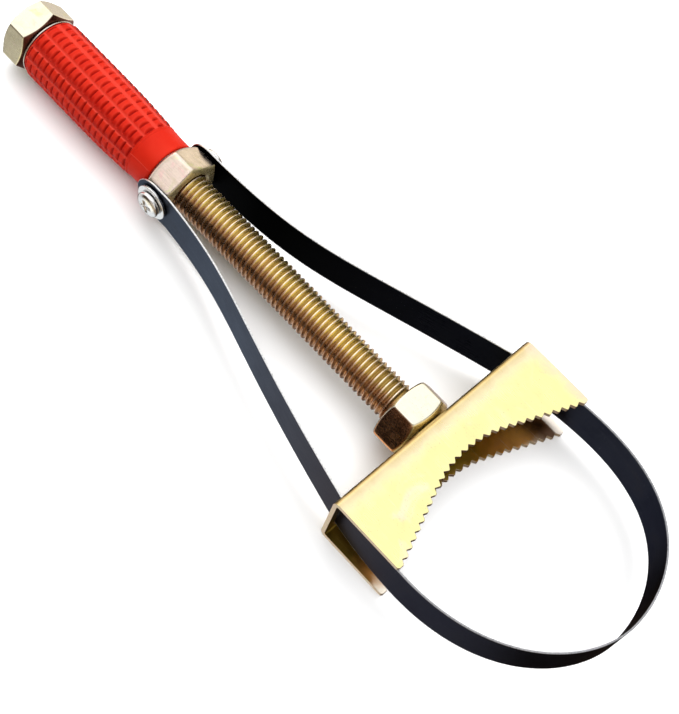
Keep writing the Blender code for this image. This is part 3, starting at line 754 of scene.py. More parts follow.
    # the loop's edge is darker than the legs' edges
    loop = s.span(s.axis("X"), 193.0, 215.0, 0.0, 0.85)
    colour = s.mix(loop, colour, s.ramp(nick, [(0.3, (0.16, 0.17, 0.19)), (0.6, (0.34, 0.35, 0.38))]))
    s.set(
        Base_Color=colour, Metallic=1.0, Roughness=s.span(nick, 0.3, 0.7, 0.42, 0.28),
        Normal=s.bump(nick, 0.2, 0.03),
    )  # fmt: skip
    m["band_edge"] = s.material

    s = Shader("moulded_red_grip")
    cloud = s.noise(1 / 11, 3, 0.5, 0.3)
    colour = s.ramp(
        cloud, [(0.3, (0.45, 0.012, 0.004)), (0.55, (0.49, 0.017, 0.006)), (0.8, (0.51, 0.021, 0.009))]
    )
    # painted shade: deep red in the notches and on the lower halves of the lower-left blocks
    colour = s.mix(s.math("MULTIPLY", s.mark("groove"), 0.97), colour, (0.23, 0.0004, 0.0003))
    # painted highlight: lighter red on the plain strips, the lip, the block fronts and the seam line
    colour = s.mix(s.math("MULTIPLY", s.mark("painted_highlight"), 0.85), colour, (0.57, 0.052, 0.034))
    dust = s.noise(1.3, 4, 0.7, offset=0.6)
    colour = s.mix(s.span(dust, 0.70, 0.76, 0, 0.30), colour, (0.58, 0.14, 0.11))
    # painted shade: the flank's blocks go dark red-brown where they turn away at grazing angles
    facing = s.tree.nodes.new("ShaderNodeLayerWeight")
    facing.inputs["Blend"].default_value = 0.5
    flank_shade = s.math("MULTIPLY", s.mark("flank"), s.span(facing.outputs["Facing"], 0.50, 0.72))
    colour = s.mix(flank_shade, colour, (0.075, 0.010, 0.008))
    pebble = s.noise(3.2, 3, 0.55)
    flow = s.noise(0.22, 2, 0.5, offset=0.2)
    normal = s.bump(pebble, 0.14, 0.05)
    normal = s.bump(flow, 0.3, 0.3, normal)
    s.set(
        Base_Color=colour,
        Roughness=s.span(pebble, 0.3, 0.7, 0.40, 0.52),
        Normal=normal,
        Specular_IOR_Level=0.05,
    )
    m["grip"] = s.material
    return m


MATS = make_materials()


# ---- jaw -------------------------------------------------------------------

SHEET = 1.5
BEND = 2.4  # outside radius
JAW_LO, JAW_HI = box("jaw_yoke")
X_JAW, JAW_DEPTH = JAW_LO[0], JAW_HI[0] - JAW_LO[0]
JAW_HALF_Y, JAW_HALF_Z = JAW_HI[1], JAW_HI[2]
BORE_RADIUS = 6.3
SLOT_Y, SLOT_WIDTH, SLOT_HEIGHT = 38.1, 2.2, 17.2
MOUTH_ROOT_X, MOUTH_RADIUS, MOUTH_ARC_HALF_Y = 12.8, 42.0, 15.7
TOOTH_PITCH, TOOTH_DEPTH, TOOTH_COUNT = 3.07, 1.15, 28
TIP_LAND, ROOT_LAND = 0.45, 0.18


def mouth_point(s, offset):
    angle = math.asin(MOUTH_ARC_HALF_Y / MOUTH_RADIUS)
    length = MOUTH_RADIUS * angle
    a = min(abs(s), length) / MOUTH_RADIUS
    beyond = max(abs(s) - length, 0.0)
    side = 1 if s >= 0 else -1
    x = MOUTH_ROOT_X + MOUTH_RADIUS * (1 - math.cos(a)) + beyond * math.sin(a)
    y = MOUTH_RADIUS * math.sin(a) + beyond * math.cos(a)
    return x + offset * math.cos(a), side * (y - offset * math.sin(a))


def mouth_line():
    """The toothed edge from -Y to +Y in (x from the jaw's rear, y), cut off at the jaw's front."""
    first = -(TOOTH_COUNT - 1) / 2 * TOOTH_PITCH
    pts = [mouth_point(first - TOOTH_PITCH / 2, TOOTH_DEPTH)]
    for i in range(TOOTH_COUNT):
        root = first + i * TOOTH_PITCH
        pts.append(mouth_point(root - ROOT_LAND / 2, 0.0))
        pts.append(mouth_point(root + ROOT_LAND / 2, 0.0))
        tip = root + TOOTH_PITCH / 2
        if i < TOOTH_COUNT - 1:
            pts.append(mouth_point(tip - TIP_LAND / 2, TOOTH_DEPTH))
            pts.append(mouth_point(tip + TIP_LAND / 2, TOOTH_DEPTH))
        else:
            pts.append(mouth_point(tip, TOOTH_DEPTH))

    def cut(a, b):
        t = (JAW_DEPTH - a[0]) / (b[0] - a[0])
        return JAW_DEPTH, a[1] + t * (b[1] - a[1])

    return [cut(pts[0], pts[1])] + pts[1:-1] + [cut(pts[-2], pts[-1])]


def build_jaw():
    bend_length = (BEND - SHEET / 2) * math.pi / 2
    back = 2 * (JAW_HALF_Z - BEND)
    u2 = bend_length + back
    u3 = u2 + bend_length
    turns = [i / 8 for i in range(9)]
    lines = [bend_length * t for t in turns] + [u2 + bend_length * t for t in turns]

    def place(uv, depth):
        u, y = uv[:, 0], uv[:, 1]
        a = np.clip(u / bend_length, 0, 1) * math.pi / 2
        b = np.clip((u - u2) / bend_length, 0, 1) * math.pi / 2
        r = BEND - depth
        angle = a + b  # 0 on the top plate, 90 on the back, 180 degrees on the bottom
        nx, nz = -np.sin(angle), np.cos(angle)
        tx, tz = -np.cos(angle), -np.sin(angle)
        x = BEND + r * nx
        z = np.where(u <= u2, JAW_HALF_Z - BEND, -JAW_HALF_Z + BEND) + r * nz
        x = x + np.where(u < 0, -u, 0) + np.where(u > u3, u - u3, 0)
        down = np.clip(u - bend_length, 0, back)
        z = np.where(u <= u2, z - down, z)
        zero = np.zeros_like(u)
        position = np.stack([x + X_JAW, y, z], -1)
        return (
            position,
            np.stack([nx, zero, nz], -1),
            np.stack([tx, zero, tz], -1),
            np.stack([zero, zero + 1, zero], -1),
        )

    mouth = mouth_line()
    w = JAW_HALF_Y
    corners, radii, steps = [], [], []

    def add(u, y, r=0.0, n=2):
        corners.append((u, y))
        radii.append(r)
        steps.append(n)

    # worn tips, sharper roots
    rounding = [0.0] + [0.13 if i % 4 < 2 else 0.42 for i in range(len(mouth) - 2)] + [0.0]
    add(u3 + JAW_DEPTH - BEND, -w, 1.0, 6)
    for (x, y), r in zip(mouth, rounding):
        add(u3 + x - BEND, y, r)
    add(u3 + JAW_DEPTH - BEND, w, 1.0, 6)
    for u in lines[::-1]:
        add(u, w)
    add(BEND - JAW_DEPTH, w, 1.0, 6)
    for (x, y), r in zip(mouth[::-1], rounding[::-1]):
        add(BEND - x, y, r)
    add(BEND - JAW_DEPTH, -w, 1.0, 6)
    for u in lines:
        add(u, -w)
    outline, _ = fillet(corners, radii, steps)
    middle = bend_length + back / 2
    loops = [outline, circle(middle, 0, BORE_RADIUS, 64)[::-1]]
    for side in (1, -1):
        half, r = SLOT_HEIGHT / 2 - SLOT_WIDTH / 2, SLOT_WIDTH / 2
        slot = circle(middle + half, side * SLOT_Y, r, 12, -math.pi / 2, math.pi)
        slot += [(middle + half, side * SLOT_Y + r)]
        slot += circle(middle - half, side * SLOT_Y, r, 12, math.pi / 2, math.pi)
        slot += [(middle - half, side * SLOT_Y - r)]
        loops.append(slot[::-1])
    edge = 0.10
    guides = [((u, -w + edge), (u, w - edge)) for u in lines]
    jaw = sheet(
        "jaw_yoke_detailed", loops, guides, place, SHEET, edge,
        [MATS["jaw"], MATS["jaw_edge"], MATS["jaw_inside"]], inner_material=2,
    )  # fmt: skip
    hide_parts("jaw_yoke")
    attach(jaw, "jaw")
    return jaw


# ---- hexagons --------------------------------------------------------------


def hexagon_piece(name, node, across_flats, flat_angle, bore, rear, front, mats, body, round_=0.11):
    """A hexagon nut: flats, 30 degree corner chamfers at both ends, rounded edges, countersunk bore."""
    lo, hi = box(node)
    x0, length = lo[0], hi[0] - lo[0]
    corner = across_flats / math.sqrt(3)
    tan30 = math.tan(math.radians(30))
    s30, c30 = 0.5, math.cos(math.radians(30))
    sink = 0.8
    rim = bore + sink + 0.35
    offsets = np.array([0, 0.35, 0.7, 1.1, 1.6, 2.3, 3.3, 4.8, 7.2, 10.5, 15, 20, 25])
    sector = np.concatenate([-offsets[:0:-1] + 0, offsets, [30]])
    theta = np.radians(
        np.concatenate([sector + 30 + 60 * i for i in range(6)])
    ) + flat_angle
    normals6 = [
        (-math.sin(flat_angle + math.pi / 3 * i), math.cos(flat_angle + math.pi / 3 * i))
        for i in range(6)
    ]
    half = length / 2
    start = math.degrees(math.atan2(rim, half))
    phi = np.concatenate(
        [
            np.linspace(start, start + 3.0, 4)[:-1],
            np.arange(start + 3.0, 76.0, 0.42),
            np.linspace(76.0, 90.0, 7),
        ]
    )
    phi = np.radians(np.concatenate([phi, 180 - phi[-2::-1]]))
    T, P = np.meshgrid(theta, phi)
    direction = np.stack([-np.cos(P), -np.sin(P) * np.sin(T), np.sin(P) * np.cos(T)], -1)

    def field(p):
        x, y, z = p[..., 0], p[..., 1], p[..., 2]
        rho = np.sqrt(y * y + z * z) + 1e-12
        values = [y * ny + z * nz - across_flats / 2 for ny, nz in normals6]
        grads = [np.stack([0 * x, 0 * x + ny, 0 * x + nz], -1) for ny, nz in normals6]
        for depth, sign, at in ((rear, 1.0, 0.0), (front, -1.0, length)):
            inner = corner - depth / tan30
            values.append((rho - inner) * s30 - sign * (x - at) * c30)
            grads.append(np.stack([0 * x - sign * c30, s30 * y / rho, s30 * z / rho], -1))
            values.append(-sign * (x - at))
            grads.append(np.stack([0 * x - sign, 0 * x, 0 * x], -1))
        f = np.stack(values)
        top = f.max(0)
        e = np.exp((f - top) / round_)
        total = e.sum(0)
        value = top + round_ * np.log(total)
        weight = e / total
        gradient = (weight[..., None] * np.stack(grads)).sum(0)
        return value, gradient

    origin = np.array([half, 0, 0])
    near, far = np.zeros(T.shape), np.full(T.shape, 2.5 * corner)
    for _ in range(36):
        mid = (near + far) / 2
        value, _ = field(origin + direction * mid[..., None])
        near = np.where(value < 0, mid, near)
        far = np.where(value < 0, far, mid)
    skin = origin + direction * near[..., None]
    _, normal = field(skin)
    normal /= np.linalg.norm(normal, axis=-1)[..., None]
    # the bore, from the front face back to the rear face
    inner, left = fillet(
        [
            (length, rim - 0.1),
            (length, bore + sink),
            (length - sink, bore),
            (sink, bore),
            (0.0, bore + sink),
            (0.0, rim - 0.1),
        ],
        0.12,
        3,
        closed=False,
    )
    st, ct = np.sin(theta), np.cos(theta)
    rows = [skin.reshape(-1, 3)]
    row_normals = [normal.reshape(-1, 3)]
    for (x, r), (nx, nr) in zip(inner, left):
        # walking from the front to the rear the bore's open side is on the left
        rows.append(np.stack([0 * st + x, -r * st, r * ct], -1))
        row_normals.append(np.stack([0 * st - nx, nr * st, -nr * ct], -1))
    count = len(phi) + len(inner)
    verts = np.concatenate(rows)
    vertex_normals = np.concatenate(row_normals)
    # the left normal of the bore walk points into the metal or out of it; keep the one facing the axis
    k = len(phi) * len(theta) + 3 * len(theta)
    faces = grid_faces(count, len(theta), True, True)
    verts = verts + np.array([x0, 0, 0])
    bore_part = slice(len(phi) * len(theta), None)
    radial = vertex_normals[bore_part, 1] * verts[bore_part, 1] + vertex_normals[bore_part, 2] * verts[bore_part, 2]
    if radial.sum() > 0:
        vertex_normals[bore_part] *= -1
    obj = build(name, verts, faces, mats, vertex_normals=vertex_normals)
    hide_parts(node)
    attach(obj, body)
    return obj


# ---- spindle ---------------------------------------------------------------

PITCH = 2.0
CREST_RADIUS, ROOT_RADIUS = 6.9, 5.95
X_THREAD_REAR, X_THREAD_FRONT = 71.0, 181.0
# one pitch of the thread: position in pitches from the crest's middle, radius
THREAD_FORM = [
    (-0.150, 6.66),
    (-0.070, 6.88),
    (0.000, 6.90),
    (0.070, 6.88),
    (0.150, 6.66),
    (0.370, 6.06),
    (0.500, 5.96),
    (0.630, 6.06),
]


def build_rod():
    lo, hi = box("threaded_rod")
    tip = hi[0]
    n, m = 72, len(THREAD_FORM)
    turns = int(round((X_THREAD_FRONT - X_THREAD_REAR) / PITCH))
    verts, faces, crest, root = [], [], [], []

    def add(x, r, angle, is_crest=0.0, is_root=0.0):
        verts.append((x, -r * math.sin(angle), r * math.cos(angle)))
        crest.append(is_crest)
        root.append(is_root)
        return len(verts) - 1

    def ring(x, r):
        return [add(x, r, math.tau * k / n) for k in range(n)]

    def skin(a, b):
        for k in range(n):
            faces.append((a[k], a[(k + 1) % n], b[(k + 1) % n], b[k]))

    total = m * turns + 1
    columns = []
    for k in range(n):
        angle = math.tau * k / n
        column = []
        for i in range(total):
            phase, radius = THREAD_FORM[i % m]
            high = radius > 6.8
            turn = i // m + phase + 0.16
            along = turn + k / n
            x = X_THREAD_REAR + PITCH * along
            fade = float(min(smooth(0.3, 1.6, along), smooth(0.3, 1.6, turns + 1.0 - along)))
            # light wear: the crest's height varies a little round the rod
            wobble = 0.012 * math.sin(3 * angle + 0.9 * along) + 0.010 * math.sin(7.3 * along)
            height = (radius - ROOT_RADIUS) * fade
            r = ROOT_RADIUS + height + (wobble if high else 0.0) * fade - (0.02 if high else 0.0)
            share = height / (CREST_RADIUS - ROOT_RADIUS)
            column.append(add(x, r, angle, float(smooth(0.78, 0.97, share)), float(smooth(0.40, 0.05, share))))
        columns.append(column)
    for k in range(n - 1):
        a, b = columns[k], columns[k + 1]
        for i in range(total - 1):
            faces.append((a[i], b[i], b[i + 1], a[i + 1]))
    a, b = columns[n - 1], columns[0]
    for i in range(total - 1 - m):
        faces.append((a[i], b[i + m], b[i + m + 1], a[i + 1]))
    # rear shank and neck
    x_step = X_THREAD_REAR - 1.6
    previous = None
    for x, r in (
        (0.0, 4.9),
        (0.0, 5.55),
        (0.12, 5.78),
        (1.1, 6.76),
        (1.35, 6.88),
        (1.7, 6.9),
        (x_step - 0.2, 6.9),
        (x_step, 6.85),
        (x_step + 1.0, ROOT_RADIUS + 0.05),
        (x_step + 1.2, ROOT_RADIUS),
    ):
        following = ring(x, r)
        if previous is None:
            # a shallow turned centre in the rear face
            dish = ring(0.0, 1.7)
            for q in range(n):
                faces.append((dish[q], dish[(q + 1) % n], following[(q + 1) % n], following[q]))
            hole = ring(1.1, 0.5)
            for q in range(n):
                faces.append((hole[q], hole[(q + 1) % n], dish[(q + 1) % n], dish[q]))
            end = add(1.5, 0.0, 0.0)
            for q in range(n):
                faces.append((end, hole[(q + 1) % n], hole[q]))
        else:
            skin(previous, following)
        previous = following
    neck = previous
    for k in range(n - 1):
        faces.append((neck[k], neck[k + 1], columns[k + 1][0], columns[k][0]))
    fan = [neck[0]] + columns[0][: m + 1] + [columns[n - 1][0]]
    for a, b in zip(fan, fan[1:]):
        faces.append((neck[n - 1], a, b))
    # front: seat, journal, ring groove, tip
    x_seat = X_THREAD_FRONT + PITCH + 0.7
    seat = ring(x_seat, ROOT_RADIUS)
    for k in range(n - 1):
        faces.append((columns[k][-1], columns[k + 1][-1], seat[k + 1], seat[k]))
    last = columns[n - 1]
    fan = [last[-1 - i] for i in range(m + 1)] + [columns[0][-1], seat[0]]
    for a, b in zip(fan, fan[1:]):
        faces.append((seat[n - 1], a, b))
    groove = box("retaining_ring")
    g0, g1 = groove[0][0] - 0.3, groove[1][0] + 0.3
    previous = seat
    for x, r in (
        (x_seat + 0.25, 5.95),
        (x_seat + 0.4, 6.0),
        (g0 - 0.15, 6.0),
        (g0, 5.85),
        (g0 + 0.02, 5.35),
        (g0 + 0.12, 5.3),
        (g1 - 0.12, 5.3),
        (g1 - 0.02, 5.35),
        (g1, 5.85),
        (g1 + 0.15, 6.0),
        (tip - 0.85, 6.0),
        (tip - 0.7, 5.94),
        (tip - 0.08, 5.36),
        (tip, 5.2),
        (tip, 1.8),
        (tip - 1.3, 0.5),
    ):
        following = ring(x, r)
        skin(previous, following)
        previous = following
    end = add(tip - 1.6, 0.0, 0.0)
    for k in range(n):
        faces.append((previous[k], previous[(k + 1) % n], end))
    rod = build(
        "threaded_rod_detailed", verts, faces, [MATS["rod"]],
        marks={"crest": crest, "root": root}, sharp=48,
    )  # fmt: skip
    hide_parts("threaded_rod")
    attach(rod, "spindle")
    return rod


GRIP_COLUMNS = 13
GRIP_COLUMN_CENTRE = 1.4  # degrees from +Z towards -Y
NOTCH_FIRST, NOTCH_PITCH, NOTCH_COUNT = 12.5, 2.762, 19
SEAM_ANGLE = 55.5
GRIP_BARREL = [(11.4, 11.25), (14.0, 11.36), (40.0, 11.36), (50.0, 11.22), (56.0, 10.92), (60.0, 10.72), (62.7, 10.62)]
CUFF_LINE = [(60.0, 10.36), (64.0, 10.28), (68.0, 10.12), (72.2, 10.10)]
# stations along one notch pitch, in pitches from the notch's deepest line
NOTCH_STATIONS = [-0.5, -0.40, -0.31, -0.23, -0.16, -0.11, -0.065, -0.03, 0.0, 0.025, 0.055, 0.09, 0.15, 0.24, 0.36]


def build_grip():
    lo, hi = box("grip_sleeve")
    x0, x1 = lo[0], hi[0]
    step_angle = 360 / GRIP_COLUMNS
    angles = [GRIP_COLUMN_CENTRE + step_angle * i / 24 for i in range(24 * GRIP_COLUMNS)]
    for seam in (SEAM_ANGLE, SEAM_ANGLE + 180):
        angles += [seam + d for d in (-1.1, -0.75, -0.4, 0.0, 0.4, 0.75, 1.1)]
    angles = np.array(sorted({round(a % 360, 3) for a in angles}))
    keep = np.concatenate([[True], np.diff(angles) > 0.12])
    angles = angles[keep]
    x_texture_end = NOTCH_FIRST + NOTCH_PITCH * (NOTCH_COUNT - 1) + 0.3
    xs = [x0, x0 + 0.03, x0 + 0.08, x0 + 0.16, x0 + 0.26, x0 + 0.36]
    for i in range(NOTCH_COUNT):
        for station in NOTCH_STATIONS:
            x = NOTCH_FIRST + NOTCH_PITCH * (i + station)
            if x0 + 0.42 < x < x_texture_end - 0.08:
                xs.append(x)
    xs += [x_texture_end + d for d in (0.0, 0.1, 0.2, 0.3, 0.42, 0.62, 0.82, 0.9, 0.98, 1.06, 1.14, 1.3)]
    x = xs[-1] + 0.7
    while x < x1 - 1.0:
        xs.append(x)
        x += 0.8
    xs += [x1 - d for d in (0.8, 0.55, 0.36, 0.2, 0.08, 0.0)]
    xs = np.array(sorted(set(np.round(xs, 4))))
    A, X = np.meshgrid(np.radians(angles), xs)
    degrees = np.degrees(A)
    local = (degrees - GRIP_COLUMN_CENTRE + step_angle / 2) % step_angle - step_angle / 2
    column = np.round((degrees - GRIP_COLUMN_CENTRE - local) / step_angle) % GRIP_COLUMNS
    half = step_angle / 2
    # raised columns of blocks between plain strips; the column over the top is a narrow one
    narrow = np.where(column == GRIP_COLUMNS - 1, 0.72, 1.0)
    reach = (half - 2.6) * narrow
    barrel = np.interp(X, *zip(*GRIP_BARREL))
    inside_texture = smooth(x0 + 0.2, x0 + 0.6, X) * smooth(x_texture_end + 0.1, x_texture_end - 0.1, X)
    block = smooth(reach + 2.4, reach - 1.6, np.abs(local)) * inside_texture
    lens = np.sqrt(np.clip(1 - (local / reach) ** 2, 0, 1))
    # one flank has a single column of short blocks, with a lower strip beside it
    away = (-degrees) % 360
    flank = ((away > 40.2) & (away < 95.5)) * 1.0
    short = np.abs(away - 57.5)
    lens = np.where(flank > 0, np.sqrt(np.clip(1 - (short / 8.0) ** 2, 0, 1)), lens)
    block = np.where(flank > 0, smooth(9.0, 6.5, short) * inside_texture, block)
    crossed = np.where(flank > 0, short / 8.0, local / reach)
    number = np.clip(np.round((X - NOTCH_FIRST) / NOTCH_PITCH), 0, NOTCH_COUNT - 1)
    s = (X - NOTCH_FIRST) / NOTCH_PITCH - number
    # each notch has a slanted rear wall and a steep front wall
    rear_wall = (0.42 + 0.08 * flank) * (0.25 + 0.75 * lens)
    front_wall = (0.09 + 0.07 * flank) * (0.40 + 0.60 * lens)
    notch = np.where(s < 0, (1.3 + 0.9 * flank) * (1 + s / rear_wall), 1 - s / front_wall)
    notch = np.clip(notch, 0, 1)
    notch = notch * notch * (3 - 2 * notch)
    notch = notch * lens**0.6 * inside_texture
    crown = 0.06 * np.sin(np.clip(s + 0.5, 0, 1) * math.pi) * block
    # every block rises towards the front and drops into the next notch
    ramp = 0.10 * np.clip(s % 1.0, 0, 1) * block
    r = (barrel - 0.36) + (0.34 - 0.24 * np.clip(crossed, -1, 1) ** 2) * block - 0.95 * notch + crown + ramp
    r -= 0.62 * smooth(65, 69, away) * smooth(97, 90, away) * inside_texture
    # smooth band behind the cuff, then the cuff
    cuff = np.interp(X, *zip(*CUFF_LINE))
    step1 = smooth(x_texture_end + 0.05, x_texture_end + 0.32, X)
    r = r * (1 - step1) + (cuff + 0.16) * step1
    step2 = smooth(x_texture_end + 0.85, x_texture_end + 1.1, X)
    r = r * (1 - step2) + cuff * step2
    # rounded ends
    rear = np.clip((X - x0) / 0.35, 0, 1)
    r -= 0.35 * (1 - np.sqrt(1 - (1 - rear) ** 2))
    front = np.clip((x1 - X) / 0.8, 0, 1)
    r -= 0.8 * (1 - np.sqrt(1 - (1 - front) ** 2))
    # mould parting line on the cuff
    seam = np.zeros_like(r)
    for centre in (SEAM_ANGLE, SEAM_ANGLE + 180):
        d = np.abs((np.degrees(A) - centre + 180) % 360 - 180)
        seam = np.maximum(seam, smooth(0.8, 0.1, d))
    on_cuff = smooth(x_texture_end + 0.2, x_texture_end + 0.5, X) * smooth(x1 - 0.1, x1 - 0.8, X)
    r += 0.09 * seam * on_cuff
    # the lower half of the cuff stands a touch lower along the parting line
    below = smooth(SEAM_ANGLE, SEAM_ANGLE + 1.0, np.degrees(A)) * smooth(SEAM_ANGLE + 180, SEAM_ANGLE + 179, np.degrees(A))
    r -= 0.05 * below * step2
    bore = 9.0
    S, C = np.sin(A), np.cos(A)
    verts = [np.stack([X, -r * S, r * C], -1).reshape(-1, 3)]
    across = local / half
    # painted shade on the lower halves of the blocks in the lower-left columns, and on the strip between the third and
    # fourth column
    lower_painted_shade = 0.55 * smooth(-0.05, 0.55, across) * smooth(20, 32, degrees) * smooth(112, 98, degrees)
    lower_painted_shade = np.maximum(lower_painted_shade * block, smooth(38, 40, degrees) * smooth(45.6, 45.0, degrees) * inside_texture * 0.6)
    # groove mark: painted shade on the notch slopes, deepest at the steep wall, and the lower halves' painted shade
    groove = [np.clip(np.maximum(np.clip(notch, 0, 1) ** 1.9, lower_painted_shade), 0, 1).ravel()]
    # painted highlights: lighter red on the plain strips, a thin line beside the upper column, the lip at 45 to 48
    # degrees, the block fronts and the cuff's seam line
    strip = (1 - block) * (1 - notch) * inside_texture * (1 - flank)
    strip = np.maximum(strip, smooth(38.8, 39.6, away) * smooth(43.0, 42.0, away) * inside_texture)
    lip = smooth(45.0, 45.6, degrees) * smooth(48.0, 46.8, degrees) * (1 - notch) * inside_texture
    raised = block * (1 - np.clip(notch * 2.5, 0, 1)) * smooth(0.35, 0.9, s % 1.0)
    painted_highlight = [np.clip(raised * 0.3 + 0.6 * strip * (1 - lower_painted_shade) + 0.9 * lip + seam * on_cuff, 0, 1).ravel()]
    # where the flank's painted grazing shade applies
    flank_shade = [(smooth(44, 48, away) * smooth(98, 88, away) * inside_texture).ravel()]
    s1, c1 = np.sin(np.radians(angles)), np.cos(np.radians(angles))
    for x, radius in ((x1, bore + 0.35), (x1 - 0.1, bore + 0.1), (x1 - 0.35, bore), (x0 + 0.35, bore), (x0 + 0.1, bore + 0.1), (x0, bore + 0.35)):
        verts.append(np.stack([0 * s1 + x, -radius * s1, radius * c1], -1))
        for values in (groove, painted_highlight, flank_shade):
            values.append(np.zeros(len(angles)))
    rows = len(xs) + 6
    faces = grid_faces(rows, len(angles), True, True)
    grip = build(
        "grip_sleeve_detailed", np.concatenate(verts), faces, [MATS["grip"]],
        marks={"groove": np.concatenate(groove), "painted_highlight": np.concatenate(painted_highlight), "flank": np.concatenate(flank_shade)},
        sharp=62,
    )  # fmt: skip
    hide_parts("grip_sleeve")
    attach(grip, "spindle")
    return grip


def build_spindle():
    build_rod()
    shoulder = box("shoulder_nut")
    flats = shoulder[1][2] - shoulder[0][2]
    roll = frame_roll()
    hexagon_piece(
        "drive_hex_detailed", "drive_hex_nut", flats, roll, CREST_RADIUS + 0.08, 1.5, 1.5,
        [MATS["drive_hex"]], "spindle",
    )  # fmt: skip
    hexagon_piece(
        "shoulder_nut_detailed", "shoulder_nut", flats, 0.0, CREST_RADIUS + 0.12, 1.4, 2.2,
        [MATS["shoulder"]], "spindle", 0.3,
    )  # fmt: skip
    build_grip()

    def washer(name, node, inner, mats, edge=0.25):
        lo, hi = box(node)
        outer, x0, x1 = hi[2], lo[0], hi[0]
        obj = turned_piece(
            name,
            [(x0, inner), (x0, outer), (x1, outer), (x1, inner)],
            edge,
            96,
            mats,
            (0, 0, 0),
        )
        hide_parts(node)
        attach(obj, "spindle")

    washer("grip_end_washer_detailed", "grip_end_washer", 7.2, [MATS["pale_zinc"]])
    washer("thrust_washer_detailed", "thrust_washer", 6.3, [MATS["pale_zinc"]], 0.3)
    washer("handle_tube_detailed", "handle_tube", 7.25, [MATS["tube"]], 0.2)

    lo, hi = box("retaining_ring")
    outer, inner = hi[1], 5.65
    x0, thickness = lo[0], hi[0] - lo[0]
    # an open ring in (y, z): its mouth is at the top, with a rounded lobe at each end
    mouth = math.radians(20)
    start, end = math.pi / 2 + mouth, math.pi / 2 + math.tau - mouth
    line = [
        (outer * math.cos(a), outer * math.sin(a)) for a in np.linspace(start, end, 73)
    ]
    line += [
        (inner * math.cos(a), inner * math.sin(a)) for a in np.linspace(end, start, 73)
    ]
    radii = [0.0] * len(line)
    counts = [2] * len(line)
    for i in (0, 72, 73, 145):
        radii[i], counts[i] = 0.7, 5
    outline, _ = fillet(line, radii, counts)

    def place(uv, depth):
        zero = np.zeros(len(uv))
        return (
            np.stack([zero + x0 + depth, uv[:, 0], uv[:, 1]], -1),
            np.stack([zero - 1, zero, zero], -1),
            np.stack([zero, zero + 1, zero], -1),
            np.stack([zero, zero, zero + 1], -1),
        )

    obj = sheet(
        "retaining_ring_detailed", [outline], [], place, thickness, 0.08,
        [MATS["spring"]], rim=0,
    )  # fmt: skip
    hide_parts("retaining_ring")
    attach(obj, "spindle")


def frame_roll():
    """The drive hexagon's roll, read from the record's mount on its upper flat."""
    for mount in frame["record"]["mounts"]:
        if "hex" in json.dumps(mount):
            axis = mount.get("axis") or mount.get("normal") or mount.get("direction")
            if axis:
                return math.atan2(-axis[1], axis[2])
    return math.radians(14.2)


# ---- band ------------------------------------------------------------------

BAND_WIDTH, BAND_THICKNESS, BAND_HOLE = 16.0, 0.6, 2.9
SCREW_FROM_COLLAR, LEG_FROM_SCREW = 6.0, 6.5
BAND_LEGS = {1: (0.031, 43.5, 63.2), -1: (0.093, 38.0, 69.5)}
BAND_SIDES = {
    1: (0.31, 6.1, 36.6, 43.2, 14.0, 36.2),
    -1: (0.23, 6.1, 28.8, 40.7, 9.8, 36.9),
}


def band_lines(side):
    """The centre line of one side: the leg from the collar to the slot, and the half loop to the apex."""
    slope, slot_handle, wide_x, wide_y, before, after = BAND_SIDES[side]
    leave, rear_handle, leg_handle = BAND_LEGS[side]
    length = math.hypot(1, slope)
    dx, dy = 1 / length, side * slope / length
    collar = box("collar_nut")
    seat = collar[1][1] + 0.3 + BAND_THICKNESS / 2
    screw_x = collar[0][0] + SCREW_FROM_COLLAR
    slot = (X_JAW + SHEET / 2, side * SLOT_Y)
    start = (screw_x + LEG_FROM_SCREW, side * seat)
    wide = (X_JAW + wide_x, side * wide_y)
    apex = (box("strap_band")[1][0] - BAND_THICKNESS / 2, 1.5)
    flat = np.array(
        [(screw_x - BAND_WIDTH / 2, side * seat), (screw_x, side * seat)]
        + [(x, side * seat) for x in (start[0] - 3.0, start[0] - 1.0)]
    )
    leg = bezier(
        start,
        (start[0] + rear_handle, start[1] + side * leave * rear_handle),
        (slot[0] - leg_handle * dx, slot[1] - leg_handle * dy),
        slot,
        70,
        True,
    )
    out = bezier(
        slot,
        (slot[0] + slot_handle * dx, slot[1] + slot_handle * dy),
        (wide[0] - before, wide[1]),
        wide,
        34,
        True,
    )
    round_ = bezier(
        wide,
        (wide[0] + after, wide[1]),
        (apex[0], apex[1] + side * 18.0),
        apex,
        60,
    )
    return np.concatenate([flat, leg]), np.concatenate([out, round_]), screw_x


def ribbon(line, outer_left):
    """place() for a strip along a centre line in (x, y); outer_left: its outer face is on the line's left."""
    d = np.diff(line, axis=0)
    seg = np.linalg.norm(d, axis=1)
    s = np.concatenate([[0], np.cumsum(seg)])
    t = d / seg[:, None]
    tangent = np.concatenate([t[:1], t[:-1] + t[1:], t[-1:]])
    tangent /= np.linalg.norm(tangent, axis=1)[:, None]
    side = 1.0 if outer_left else -1.0

    def place(uv, depth):
        u = uv[:, 0]
        x, y = np.interp(u, s, line[:, 0]), np.interp(u, s, line[:, 1])
        tx, ty = np.interp(u, s, tangent[:, 0]), np.interp(u, s, tangent[:, 1])
        length = np.hypot(tx, ty)
        tx, ty = tx / length, ty / length
        nx, ny = -ty * side, tx * side
        lift = BAND_THICKNESS / 2 - depth
        zero = np.zeros_like(u)
        return (
            np.stack([x + nx * lift, y + ny * lift, uv[:, 1]], -1),
            np.stack([nx, ny, zero], -1),
            np.stack([tx, ty, zero], -1),
            np.stack([zero, zero, zero + 1], -1),
        )

    return place, s


